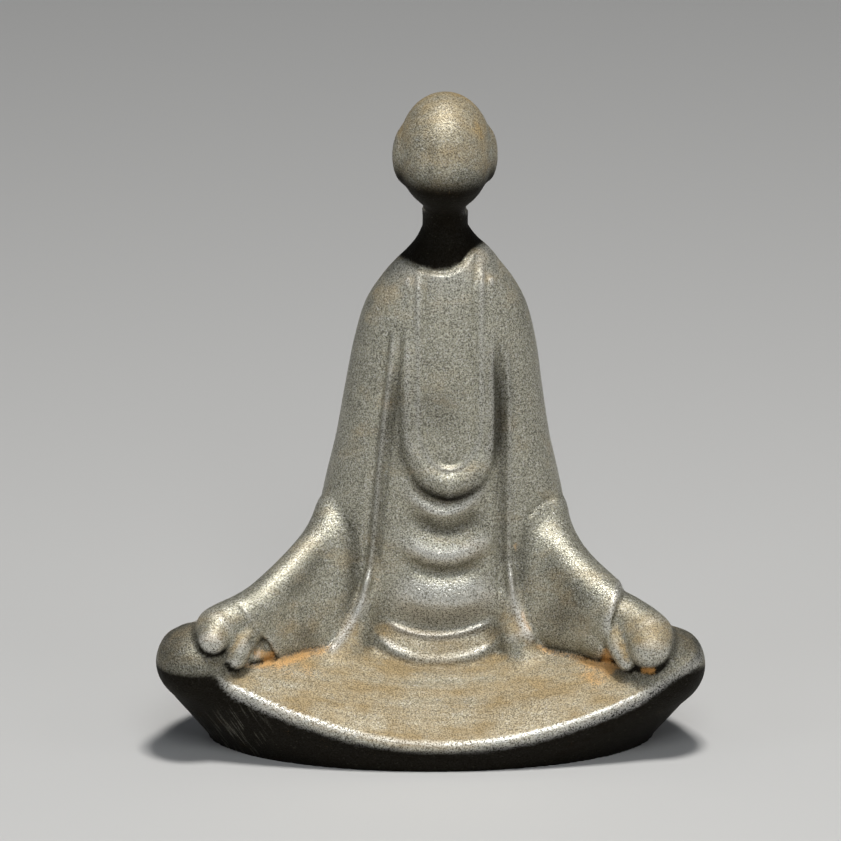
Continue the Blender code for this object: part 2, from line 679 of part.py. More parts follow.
def settle(points, steps):
    """Move points onto the skin of the figure, by short steps."""
    for _ in range(steps):
        here, slope = outward(points)
        steep = np.maximum(np.sum(slope * slope, axis=1), 0.05)
        step = np.clip(here, -LONGEST_STEP, LONGEST_STEP) / steep
        points = points - step[:, None] * slope
    return points


def keep_modified(figure):
    """Make the figure's modified shape its own mesh, and drop its modifiers."""
    graph = bpy.context.evaluated_depsgraph_get()
    skin = bpy.data.meshes.new_from_object(figure.evaluated_get(graph))
    figure.modifiers.clear()
    old, figure.data = figure.data, skin
    bpy.data.meshes.remove(old)


def remeshed(figure, grain):
    """Rebuild the figure's mesh as one even skin."""
    fuse = figure.modifiers.new("Skin", "REMESH")
    fuse.mode = "VOXEL"
    fuse.voxel_size = grain
    keep_modified(figure)


def thinned(figure, most):
    """Leave the figure the most triangles it may have, where the shape needs them."""
    triangles = sum(len(face.vertices) - 2 for face in figure.data.polygons)
    thin = figure.modifiers.new("Thin", "DECIMATE")
    thin.ratio = most / triangles
    thin.use_collapse_triangulate = True
    keep_modified(figure)


def stand(figure):
    """Cut the foot flat, centre the figure over its box and bring it to its real size."""
    mesh = bmesh.new()
    mesh.from_mesh(figure.data)
    for vert in mesh.verts:
        if abs(vert.co.z) < FOOT_SNAP:
            vert.co.z = 0.0
    everything = mesh.verts[:] + mesh.edges[:] + mesh.faces[:]
    bmesh.ops.bisect_plane(
        mesh, geom=everything, dist=FOOT_SNAP / 100, plane_co=(0, 0, 0), plane_no=(0, 0, 1),
        clear_inner=True,
    )
    rim = [edge for edge in mesh.edges if edge.is_boundary]
    bmesh.ops.triangle_fill(mesh, edges=rim, use_beauty=True)
    bmesh.ops.recalc_face_normals(mesh, faces=mesh.faces)
    for axis in (0, 1):
        places = [vert.co[axis] for vert in mesh.verts]
        middle = (min(places) + max(places)) / 2
        for vert in mesh.verts:
            vert.co[axis] -= middle
    bmesh.ops.scale(mesh, vec=(UNIT, UNIT, UNIT), verts=mesh.verts)
    mesh.to_mesh(figure.data)
    mesh.free()


def vertex_array(mesh):
    """Return a mesh's vertices as rows of numbers."""
    flat = np.empty(3 * len(mesh.vertices))
    mesh.vertices.foreach_get("co", flat)
    return flat.reshape(-1, 3)


def cast_iron():
    """Return the finish: dark olive brown cast iron, dusty and half dull."""
    finish = bpy.data.materials.new("cast_iron")
    finish.use_nodes = True
    shader = finish.node_tree.nodes["Principled BSDF"]
    shader.inputs["Base Color"].default_value = IRON_COLOUR
    shader.inputs["Roughness"].default_value = IRON_ROUGHNESS
    shader.inputs["Metallic"].default_value = IRON_METALLIC
    finish.diffuse_color = IRON_COLOUR
    return finish


def main():
    """Build the figure."""
    for thing in list(bpy.data.objects):
        bpy.data.objects.remove(thing)
    masses = bmesh.new()
    for mass, _ in head_parts() + body_parts():
        mass.rough(masses)
    bmesh.ops.recalc_face_normals(masses, faces=masses.faces)
    mesh = bpy.data.meshes.new("seated_figure")
    masses.to_mesh(mesh)
    masses.free()
    figure = bpy.data.objects.new("seated_figure", mesh)
    bpy.context.scene.collection.objects.link(figure)
    for grain, steps in ((ROUGH_GRAIN, ROUGH_STEPS), (SKIN_GRAIN, FINE_STEPS)):
        remeshed(figure, grain)
        points = settle(vertex_array(figure.data), steps)
        figure.data.vertices.foreach_set("co", points.ravel())
        figure.data.update()
    figure.data.vertices.foreach_set("co", carve(points).ravel())
    figure.data.update()
    thinned(figure, MOST_TRIANGLES)
    stand(figure)
    figure.data.materials.append(cast_iron())
    figure.data.shade_smooth()
    figure.data.set_sharp_from_angle(angle=SHARP_ANGLE)


main()
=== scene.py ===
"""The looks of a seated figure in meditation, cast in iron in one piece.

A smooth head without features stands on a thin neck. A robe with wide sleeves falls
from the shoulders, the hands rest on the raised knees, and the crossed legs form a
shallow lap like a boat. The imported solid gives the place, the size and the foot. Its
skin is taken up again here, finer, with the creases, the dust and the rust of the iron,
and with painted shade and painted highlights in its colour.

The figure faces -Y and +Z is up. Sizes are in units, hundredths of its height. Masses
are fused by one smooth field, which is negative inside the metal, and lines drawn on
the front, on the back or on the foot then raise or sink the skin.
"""

import logging
import math
from dataclasses import dataclass
from enum import Enum
from functools import cached_property
from typing import Dict, List, Optional, Sequence, Tuple, Union

import bmesh
import bpy
import numpy as np
from mathutils import Euler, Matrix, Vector


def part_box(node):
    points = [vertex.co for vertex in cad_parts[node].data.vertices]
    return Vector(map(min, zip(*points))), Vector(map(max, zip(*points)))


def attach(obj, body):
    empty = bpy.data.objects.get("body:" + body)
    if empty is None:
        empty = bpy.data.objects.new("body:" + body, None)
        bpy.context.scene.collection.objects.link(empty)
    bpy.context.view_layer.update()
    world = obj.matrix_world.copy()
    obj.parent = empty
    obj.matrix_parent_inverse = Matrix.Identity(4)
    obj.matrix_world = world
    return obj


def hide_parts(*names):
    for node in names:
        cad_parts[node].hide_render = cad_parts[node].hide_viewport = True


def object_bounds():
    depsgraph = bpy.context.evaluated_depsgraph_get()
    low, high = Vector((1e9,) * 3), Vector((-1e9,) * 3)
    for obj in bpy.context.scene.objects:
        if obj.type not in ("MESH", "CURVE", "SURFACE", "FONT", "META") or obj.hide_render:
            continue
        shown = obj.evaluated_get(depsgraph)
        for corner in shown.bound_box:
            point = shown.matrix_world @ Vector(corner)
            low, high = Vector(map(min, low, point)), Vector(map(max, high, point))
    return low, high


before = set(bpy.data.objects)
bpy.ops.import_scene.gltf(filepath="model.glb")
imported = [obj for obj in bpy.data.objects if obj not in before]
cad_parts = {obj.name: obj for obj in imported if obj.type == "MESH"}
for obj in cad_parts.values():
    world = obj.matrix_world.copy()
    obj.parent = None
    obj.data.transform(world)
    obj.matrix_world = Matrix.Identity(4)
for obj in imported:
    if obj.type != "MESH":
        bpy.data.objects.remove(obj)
cad_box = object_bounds()

log = logging.getLogger("seated_figure")

# Points are places, one in each row, or one number for each place. A spot is a place in
# space, a drawn place lies in a drawing, and a span runs from a low to a high value.
Points = np.ndarray
Spot = Tuple[float, float, float]
Drawn = Tuple[float, float]
Span = Tuple[float, float]
Colour = Tuple[float, float, float]

NODE = "seated_figure"
BODY = "root"

# The front is drawn as it is seen from this far above. A drawing has x across and, up,
# the height in that view above the point of the ground this many units before the middle.
SIGHT = math.radians(18)
SIGHT_BACK = 11.8

# A U is drawn with a corner at each of these turns round its foot.
FOOT_TURNS = np.radians(np.arange(0, 181, 30))

# A number that keeps a division from failing.
TINY = 1e-9


def rounded_path(corners: Sequence, steps: int = 6) -> Points:
    """Draw a smooth curve through corners.

    Args:
        corners: The places the curve runs through.
        steps: The number of points for each stretch between two corners.

    Returns:
        The points along the curve, one in each row.
    """
    corners = np.asarray(corners, dtype=float)
    ends = np.vstack([2 * corners[0] - corners[1], corners, 2 * corners[-1] - corners[-2]])
    points = []
    for before, start, stop, after in zip(ends, ends[1:], ends[2:], ends[3:]):
        for share in np.arange(steps) / steps:
            leave, arrive = (stop - before) / 2, (after - start) / 2
            bend = 3 * (stop - start) - 2 * leave - arrive
            turn = 2 * (start - stop) + leave + arrive
            points.append(start + share * (leave + share * (bend + share * turn)))
    return np.array(points + [corners[-1]])


def smooth_union(one: Points, other: Points, blend: float) -> Points:
    """Fuse two fields.

    Args:
        one: The first field at the points.
        other: The second field at the points.
        blend: About the size of the fillet where they meet.

    Returns:
        The field of both masses.
    """
    share = np.maximum(blend - np.abs(one - other), 0.0) / blend
    return np.minimum(one, other) - share * share * blend / 4


def smooth_meet(one: Points, other: Points, blend: float) -> Points:
    """Keep what lies in both fields, with the edge between them rounded."""
    return -smooth_union(-one, -other, blend)


def smooth_step(values: Points, low: float, high: float) -> Points:
    """Rise from 0 at low to 1 at high without a corner."""
    share = np.clip((values - low) / (high - low), 0.0, 1.0)
    return share * share * (3 - 2 * share)


def as_drawn(points: Points) -> Points:
    """Return the points as they are seen from the front, across and up."""
    up = points[:, 2] * math.cos(SIGHT) + (points[:, 1] + SIGHT_BACK) * math.sin(SIGHT)
    return np.column_stack([points[:, 0], up])


def facing(normals: Points) -> Points:
    """Return how far each normal points to where the front is seen from."""
    return normals[:, 2] * math.sin(SIGHT) - normals[:, 1] * math.cos(SIGHT)


class Mass:
    """A body of metal, known by how far points lie outside it."""

    def field(self, points: Points) -> Points:
        """Return about how far each point lies outside the mass."""
        raise NotImplementedError


@dataclass(frozen=True)
class Ball(Mass):
    """An ellipsoid, turned by Euler angles."""

    centre: Spot
    radii: Spot
    turn: Spot = (0.0, 0.0, 0.0)

    def field(self, points: Points) -> Points:
        """Return about how far each point lies outside the ball.

        Args:
            points: The places, in units.

        Returns:
            About how far each point lies outside, less than 0 inside.
        """
        turn = np.array(Euler(self.turn).to_matrix())
        scaled = (points - np.array(self.centre)) @ turn / np.array(self.radii)
        near = np.linalg.norm(scaled, axis=1) + TINY
        slope = np.linalg.norm(scaled / np.array(self.radii), axis=1) + TINY
        return near * (near - 1) / slope


@dataclass(frozen=True)
class Limb(Mass):
    """A round bar along a curve, with radii at even shares of its length."""

    corners: Tuple[Spot, ...]
    radii: Tuple[float, ...]
    close_by: float = 8.0

    @cached_property
    def course(self) -> Tuple[Points, Points]:
        """The points and the radii along the bar.

        Returns:
            The points, one in each row, and the radius at each.
        """
        path = rounded_path(self.corners)
        shares = np.linspace(0.0, 1.0, len(path))
        return path, np.interp(shares, np.linspace(0.0, 1.0, len(self.radii)), self.radii)

    def field(self, points: Points) -> Points:
        """Return how far each point lies outside the bar, roughly where it is far.

        Args:
            points: The places, in units.

        Returns:
            About how far each point lies outside, less than 0 inside.
        """
        path, radii = self.course
        low = path.min(axis=0) - radii.max()
        high = path.max(axis=0) + radii.max()
        away = np.maximum(np.maximum(low - points, points - high), 0.0)
        result = np.linalg.norm(away, axis=1)
        close = result < self.close_by
        spots = points[close]
        nearest = np.full(len(spots), np.inf)
        for index in range(len(path) - 1):
            start, along = path[index], path[index + 1] - path[index]
            share = np.clip((spots - start) @ along / (along @ along), 0.0, 1.0)
            gap = np.linalg.norm(spots - start - share[:, None] * along, axis=1)
            radius = radii[index] + share * (radii[index + 1] - radii[index])
            nearest = np.minimum(nearest, gap - radius)
        result[close] = nearest
        return result


@dataclass(frozen=True)
class Curtain(Mass):
    """Cloth between two edges, as thick as the radii of the edges say, with an inner edge."""

    top: Limb
    foot: Limb
    inner: Limb
    falls: int = 4
    blend: float = 3.0

    @cached_property
    def bars(self) -> List[Limb]:
        """The bars from the upper edge to the lower edge.

        Returns:
            The bars, which the cloth is fused from.
        """
        bars = []
        for share in np.linspace(0.0, 1.0, self.falls):
            corners = (1 - share) * np.array(self.top.corners) + share * np.array(self.foot.corners)
            radii = (1 - share) * np.array(self.top.radii) + share * np.array(self.foot.radii)
            bars.append(Limb(tuple(map(tuple, corners)), tuple(radii)))
        return bars

    def field(self, points: Points) -> Points:
        """Return about how far each point lies outside the cloth.

        Args:
            points: The places, in units.

        Returns:
            About how far each point lies outside, less than 0 inside.
        """
        field = self.inner.field(points)
        for bar in self.bars:
            field = smooth_union(field, bar.field(points), self.blend)
        return field


@dataclass(frozen=True)
class Loft(Mass):
    """A column of rounded outlines.

    Each level gives the height, the middle in x, the half width, the front, the middle
    in y, the back and the squareness. The core is the share of the outline within which
    every point lies as deep as the column is thick.
    """

    levels: Tuple[Tuple[float, ...], ...]
    back_squareness: float = 0.0
    core: float = 0.05

    @cached_property
    def fine(self) -> Points:
        """The levels with smooth steps between them."""
        return rounded_path(self.levels)

    def outline(self, heights: Points) -> List[Points]:
        """Return the outline's values at each height."""
        levels, *columns = self.fine.T
        return [np.interp(heights, levels, column) for column in columns]

    def field(self, points: Points) -> Points:
        """Return about how far each point lies outside the column.

        Args:
            points: The places, in units.

        Returns:
            About how far each point lies outside, less than 0 inside.
        """
        middle, half_width, front, waist, back, square = self.outline(points[:, 2])
        across, along = points[:, 0] - middle, points[:, 1] - waist
        behind = along > 0
        depth = np.where(behind, back - waist, waist - front)
        if self.back_squareness:
            square = np.where(behind, self.back_squareness, square)
        share = (np.abs(across) / half_width) ** square + (np.abs(along) / depth) ** square
        share = np.maximum(share, TINY) ** (1 / square)
        side = np.hypot(across, along) * (1 - 1 / share)
        side = np.where(share < self.core, -np.minimum(half_width, depth), side)
        floor, roof = self.levels[0][0], self.levels[-1][0]
        return np.maximum(side, np.maximum(floor - points[:, 2], points[:, 2] - roof))


@dataclass(frozen=True)
class Rim:
    """The hollow on top of the lap, which rises from its rim to the robe."""

    low: float = 4.2
    middle: float = 2.0
    ease: float = 5.0
    curve: float = 0.0082
    front: float = -20.2
    sweep: float = 0.0022
    yaw: float = 0.03
    high: float = 16.2
    high_spread: float = 0.06
    rise_least: float = 0.5
    reach: float = 19.6
    reach_spread: float = 0.36
    reach_least: float = 9.0

    def top(self, across: Points, along: Points) -> Tuple[Points, Points]:
        """Return the height and the steepness of the hollow at places on the plan.

        Args:
            across: The places' x.
            along: The places' y.

        Returns:
            The height and the steepness at each place.
        """
        offset = np.sqrt((across - self.middle) ** 2 + self.ease**2)
        rim = self.low + self.curve * offset**2
        rim_front = self.front + self.sweep * offset**2 + self.yaw * across
        rise = np.maximum(self.high + self.high_spread * offset - rim, self.rise_least)
        reach = np.maximum(self.reach - self.reach_spread * offset, self.reach_least)
        return rim + rise * np.tanh((along - rim_front) / reach), rise / reach


@dataclass(frozen=True)
class Hollowed(Mass):
    """A column cut off by the hollow of the lap, or by a layer above it.

    The layer's thickness grows with its rise toward the back from a front edge, and with
    its spread to both sides of a middle.
    """

    column: Loft
    rim: Rim
    rounding: float
    thick: float = 0.0
    rise: float = 0.0
    spread: float = 0.0
    middle: float = 0.0
    front: float = 0.0

    def field(self, points: Points) -> Points:
        """Return about how far each point lies outside the mass.

        Args:
            points: The places, in units.

        Returns:
            About how far each point lies outside, less than 0 inside.
        """
        across, along = points[:, 0], points[:, 1]
        top, slope = self.rim.top(across, along)
        thick = self.thick + self.rise * (along - self.front) + self.spread * (across - self.middle) ** 2
        over = (points[:, 2] - top) / np.sqrt(1 + slope * slope) - thick
        return smooth_meet(self.column.field(points), over, self.rounding)


@dataclass(frozen=True)
class Fold:
    """A drawn line: a crest where the height is positive, else a groove.

    A step raises the skin on the left of the line, as it is drawn, over its reach. The
    line is felt within a margin of some widths, and its step within some reaches.
    """

    corners: Tuple[Drawn, ...]
    width: float
    height: float
    step: float = 0.0
    reach: float = 3.0
    fade: float = 0.2
    margin_widths: float = 3.0
    margin_reaches: float = 4.0

    def relief(self, drawn: Points) -> Points:
        """Return how far the line lifts the skin at each drawn point.

        Args:
            drawn: The places, across and up.

        Returns:
            The lift at each place, in units.
        """
        path = rounded_path(self.corners)
        margin = self.margin_widths * self.width
        margin += self.margin_reaches * self.reach if self.step else 0.0
        low, high = path.min(axis=0) - margin, path.max(axis=0) + margin
        near = np.all((drawn > low) & (drawn < high), axis=1)
        spots = drawn[near]
        gap = np.full(len(spots), np.inf)
        share, side = np.zeros(len(spots)), np.ones(len(spots))
        for index in range(len(path) - 1):
            start, along = path[index], path[index + 1] - path[index]
            offset = spots - start
            part = np.clip(offset @ along / (along @ along), 0.0, 1.0)
            distance = np.linalg.norm(offset - part[:, None] * along, axis=1)
            closer = distance < gap
            gap = np.where(closer, distance, gap)
            share = np.where(closer, (index + part) / (len(path) - 1), share)
            left = along[0] * offset[:, 1] - along[1] * offset[:, 0]
            side = np.where(closer, np.sign(left), side)
        ends = np.minimum(smooth_step(share, 0.0, self.fade), smooth_step(1 - share, 0.0, self.fade))
        lift = self.height * np.exp(-((gap / self.width) ** 2))
        if self.step:
            signed = side * gap
            raised = 0.5 + 0.5 * np.tanh(signed / self.width)
            lift += self.step * raised * np.exp(-np.maximum(signed, 0.0) / self.reach)
        result = np.zeros(len(drawn))
        result[near] = lift * ends
        return result

    def moved(self, across: float, width: float, height: float) -> "Fold":
        """Return the line moved sideways, with another width and height."""
        corners = tuple((x + across, up) for x, up in self.corners)
        return Fold(corners, width, height, fade=self.fade)


@dataclass(frozen=True)
class Dent:
    """A small round hollow, drawn on the front."""

    centre: Drawn
    radius: float
    depth: float

    def relief(self, drawn: Points) -> Points:
        """Return how far the dent lifts the skin at each drawn point."""
        gap = np.linalg.norm(drawn - np.array(self.centre), axis=1)
        return -self.depth * np.exp(-((gap / self.radius) ** 2))


Mark = Union[Fold, Dent]
Fused = Tuple[Mass, float]


@dataclass(frozen=True)
class Head:
    """The smooth head, bowed and turned a little, with its ears and its neck."""

    turn: float = math.radians(-10)
    bow: float = math.radians(6)
    skull: Tuple[Spot, Spot] = ((2.1, 0.2, 90.4), (6.75, 7.2, 8.2))
    jaw: Tuple[Spot, Spot] = ((2.1, -0.5, 87.2), (5.8, 6.1, 5.5))
    left_ear: Tuple[Spot, Spot] = ((-3.9, 0.4, 88.9), (1.6, 2.5, 3.8))
    right_ear: Tuple[Spot, Spot] = ((8.4, 1.2, 88.8), (1.3, 2.0, 3.7))
    jaw_blend: float = 2.5
    ear_blend: float = 1.6
    neck: Tuple[Spot, ...] = ((2.2, 4.6, 68.0), (2.0, 3.4, 77.0), (2.0, 1.4, 85.0))
    neck_radii: Tuple[float, ...] = (2.0, 1.8)
    neck_blend: float = 2.4
    ear_crease: Tuple[Drawn, ...] = ((-1.0, 91.2), (-0.4, 88.4), (-0.5, 85.4), (-1.2, 83.2))
    ear_crease_width: float = 0.8
    ear_crease_depth: float = 0.3
    ear_crease_fade: float = 0.4

    def crown(self) -> float:
        """Return the height of the crown, in units."""
        return self.skull[0][2] + self.skull[1][2]

    def masses(self) -> List[Fused]:
        """Return the masses, each with its fillet to what is already there.

        Returns:
            The skull, the jaw, the ears and the neck.
        """
        turn = (self.bow, 0.0, self.turn)
        return [
            (Ball(*self.skull, turn), 0.0),
            (Ball(*self.jaw, turn), self.jaw_blend),
            (Ball(*self.left_ear, turn), self.ear_blend),
            (Ball(*self.right_ear, turn), self.ear_blend),
            (Limb(self.neck, self.neck_radii), self.neck_blend),
        ]

    def marks(self) -> List[Mark]:
        """Return the soft crease before the ear."""
        crease = Fold(self.ear_crease, self.ear_crease_width, -self.ear_crease_depth,
                      fade=self.ear_crease_fade)
        return [crease]


@dataclass(frozen=True)
class Robe:
    """The robe with its upper arms, its neckline, its open edges and its collar."""

    levels: Tuple[Tuple[float, ...], ...] = (
        (-3.0, 1.0, 19.0, -3.6, 5.0, 16.5, 2.6),
        (10.0, 1.0, 18.6, -3.0, 5.0, 17.0, 2.8),
        (18.0, 1.2, 18.2, -3.5, 5.0, 17.2, 2.9),
        (26.0, 1.4, 17.8, -4.3, 5.0, 17.0, 2.8),
        (33.0, 1.7, 18.1, -4.5, 4.8, 16.4, 2.6),
        (38.0, 1.75, 17.3, -4.6, 4.7, 15.8, 2.4),
        (44.7, 1.8, 15.8, -4.6, 4.6, 15.0, 2.3),
        (52.2, 1.9, 14.6, -4.3, 4.4, 14.0, 2.3),
        (59.6, 2.1, 13.4, -3.8, 4.2, 13.0, 2.3),
        (65.2, 2.2, 11.9, -3.1, 4.2, 11.9, 2.2),
        (68.9, 2.35, 9.85, -2.4, 4.2, 10.8, 2.2),
        (71.4, 2.45, 7.85, -1.6, 4.2, 9.6, 2.1),
        (73.6, 2.85, 5.6, -0.4, 4.0, 8.0, 2.0),
        (75.4, 2.65, 3.2, 1.0, 3.8, 6.4, 2.0),
        (77.4, 2.3, 1.0, 2.6, 3.6, 4.6, 2.0),
    )
    neck_blend: float = 7.5
    neckline: Tuple[Drawn, ...] = (
        (8.8, 76.4), (5.9, 74.4), (4.5, 72.6), (2.6, 71.5), (0.2, 71.5), (-2.1, 72.3), (-5.4, 74.0),
    )
    neckline_width: float = 0.45
    neckline_depth: float = 0.4
    neckline_step: float = 0.4
    neckline_reach: float = 3.0
    neckline_fade: float = 0.06
    collar_middle: float = 2.8
    collar_half_width: float = 5.9
    collar_top: float = 70.0
    collar_bend: float = 48.5
    collar_low: float = 39.8
    collar_radii: Tuple[float, float] = (1.35, 2.75)
    collar_swell: float = 1.5
    collar_sunk: Tuple[float, float] = (0.68, 0.5)
    collar_end: float = 60.0
    collar_end_share: float = 0.3
    collar_blend: float = 0.5
    panel_half_width: float = 4.6
    panel_low: float = 42.3
    panel_bend: float = 49.0
    panel_tops: Tuple[float, float] = (73.0, 75.0)
    panel_width: float = 0.4
    panel_height: float = 0.34
    panel_groove: float = 0.24
    panel_gap: float = 0.95
    panel_fade: float = 0.04
    left_edge: Tuple[Drawn, ...] = (
        (-5.2, 64.0), (-5.9, 57.0), (-7.1, 46.8), (-8.2, 35.0), (-9.0, 27.5), (-10.2, 22.4),
    )
    right_edge: Tuple[Drawn, ...] = (
        (10.9, 62.0), (11.5, 52.0), (11.5, 38.0), (11.6, 28.0), (12.3, 23.0),
    )
    edge_width: float = 0.42
    edge_height: float = 0.32
    edge_depth: float = 0.3
    edge_gap: float = 1.0
    edge_fade: float = 0.12
    right_groove_width: float = 0.924
    right_groove_depth: float = 0.48
    right_groove_gap: float = 1.3
    left_gusset: Tuple[Drawn, ...] = (
        (-9.0, 27.5), (-10.2, 22.8), (-11.8, 19.6), (-13.4, 17.2), (-15.2, 15.0),
    )
    right_gusset: Tuple[Drawn, ...] = (
        (11.6, 28.0), (12.2, 23.6), (13.2, 20.6), (14.0, 18.6), (15.4, 16.6),
    )
    gusset_width: float = 0.55
    gusset_height: float = 0.6
    gusset_fade: float = 0.1
    left_web: Tuple[Spot, ...] = (
        (-9.0, -2.9, 25.2), (-9.9, -3.2, 21.0), (-11.2, -3.7, 17.4), (-12.3, -4.7, 15.0),
        (-13.6, -6.0, 13.3),
    )
    right_web: Tuple[Spot, ...] = (
        (11.6, -2.9, 26.0), (11.9, -2.9, 21.8), (12.4, -3.4, 18.4), (12.9, -4.3, 16.2),
        (13.9, -5.2, 13.9),
    )
    web_radii: Tuple[float, ...] = (1.0, 1.9, 2.4, 2.6, 2.0)
    web_blend: float = 2.2
    swag_middle: float = 2.0
    swag_corners: int = 6
    swag_fade: float = 0.35
    swags: Tuple[Tuple[float, ...], ...] = (
        (36.0, 6.2, 7.6, 0.8, 0.55),
        (33.0, 5.8, 8.2, 1.2, -0.8),
        (29.5, 5.0, 8.6, 1.3, 0.75),
        (26.8, 4.2, 8.8, 1.1, -0.6),
        (23.0, 2.6, 9.0, 2.5, 1.3),
    )
    back_middle: float = 1.8
    back_reach: Tuple[float, float, float] = (64.0, 40.0, 4.0)
    back_spread: float = 1.3
    back_width: float = 1.7
    back_fade: float = 0.45
    back_folds: Tuple[Spot, ...] = (
        (-6.5, -15.5, 0.7), (-4.0, -10.0, -0.6), (0.0, 0.5, 0.8), (4.2, 10.5, -0.6), (6.6, 16.0, 0.7),
    )

    def front(self, across: float, height: float) -> float:
        """Return the y of the robe's front at a place seen from the front.

        Args:
            across: The place's x.
            height: The place's height.

        Returns:
            The y there.
        """
        middle, half_width, front, waist, _, square = Loft(self.levels).outline(height)
        share = min(abs(across - middle) / half_width, 1.0)
        return waist - (waist - front) * (1 - share**square) ** (1 / square)

    def collar(self) -> Limb:
        """Return the roll of the collar, a U that is thin at the sides and thick below.

        Returns:
            The roll, laid on the robe's front.
        """
        tops = (self.collar_top, self.collar_top)
        line = self.u_line(self.collar_half_width, self.collar_low, self.collar_bend, tops)
        corners, radii = [], []
        for across, height in line:
            low = max(self.collar_bend - height, 0.0) / (self.collar_bend - self.collar_low)
            radius = np.interp(low**self.collar_swell, (0, 1), self.collar_radii)
            radius *= np.interp(height, (self.collar_end, self.collar_top), (1, self.collar_end_share))
            sunk = np.interp(low, (0, 1), self.collar_sunk)
            corners.append((across, self.front(across, height) + sunk * radius, height))
            radii.append(radius)
        return Limb(tuple(corners), tuple(radii))

    def u_line(self, half_width: float, low: float, bend: float, tops: Tuple[float, float]) -> List[Drawn]:
        """Draw a U round the middle of the collar.

        Args:
            half_width: Half its width.
            low: Its lowest place.
            bend: Where its sides start to bend.
            tops: Where its left and its right side end.

        Returns:
            The corners from the left top to the right top.
        """
        left, right = tops
        line = [(-1.0, left), (-1.0, (left + bend) / 2)]
        for turn in FOOT_TURNS:
            line.append((-math.cos(turn), bend - (bend - low) * math.sin(turn)))
        line += [(1.0, (right + bend) / 2), (1.0, right)]
        return [(self.collar_middle + half_width * across, up) for across, up in line]

    def masses(self) -> List[Fused]:
        """Return the column of the robe, with its fillet to the neck."""
        return [(Loft(self.levels), self.neck_blend)]

    def webs(self) -> List[Fused]:
        """Return the gussets, webs of cloth from the open edges down to the lap."""
        return [(Limb(web, self.web_radii), self.web_blend) for web in (self.left_web, self.right_web)]

    def swag(self, low: float, sag: float, half_width: float, width: float, height: float) -> Fold:
        """Return a fold that hangs across the belly as an arc.

        Args:
            low: The height of its middle.
            sag: How far its middle hangs below its ends.
            half_width: Half its width across the belly.
            width: The line's own width.
            height: How far it lifts the skin, less than 0 for a groove.

        Returns:
            The fold.
        """
        shares = np.linspace(-1.0, 1.0, self.swag_corners)
        corners = tuple((self.swag_middle + half_width * share, low + sag * share * share)
                        for share in shares)
        return Fold(corners, width, height, fade=self.swag_fade)

    def marks(self) -> List[Mark]:
        """Return the lines drawn on the front.

        Returns:
            The neckline, the open edges, the gussets, the panel and the swags.
        """
        left = Fold(self.left_edge, self.edge_width, self.edge_height, fade=self.edge_fade)
        right = Fold(self.right_edge, self.edge_width, self.edge_height, fade=self.edge_fade)
        marks = [
            Fold(self.neckline, self.neckline_width, -self.neckline_depth, self.neckline_step,
                 self.neckline_reach, self.neckline_fade),
            left,
            left.moved(self.edge_gap, self.edge_width, -self.edge_depth),
            left.moved(-self.edge_gap, self.edge_width, -self.edge_depth),
            right,
            right.moved(-self.right_groove_gap, self.right_groove_width, -self.right_groove_depth),
            Fold(self.left_gusset, self.gusset_width, self.gusset_height, fade=self.gusset_fade),
            Fold(self.right_gusset, self.gusset_width, self.gusset_height, fade=self.gusset_fade),
        ]
        for inset, height in ((0.0, self.panel_height), (self.panel_gap, -self.panel_groove)):
            line = self.u_line(self.panel_half_width - inset, self.panel_low + inset, self.panel_bend,
                               self.panel_tops)
            marks.append(Fold(tuple(line), self.panel_width, height, fade=self.panel_fade))
        return marks + [self.swag(*swag) for swag in self.swags]

    def back_marks(self) -> List[Mark]:
        """Return the soft folds that fall down the back, drawn as x and height.

        Returns:
            The folds.
        """
        top, bend, foot = self.back_reach
        marks = []
        for high, low, height in self.back_folds:
            corners = ((self.back_middle + high, top), (self.back_middle + self.back_spread * high, bend),
                       (self.back_middle + low, foot))
            marks.append(Fold(corners, self.back_width, height, fade=self.back_fade))
        return marks


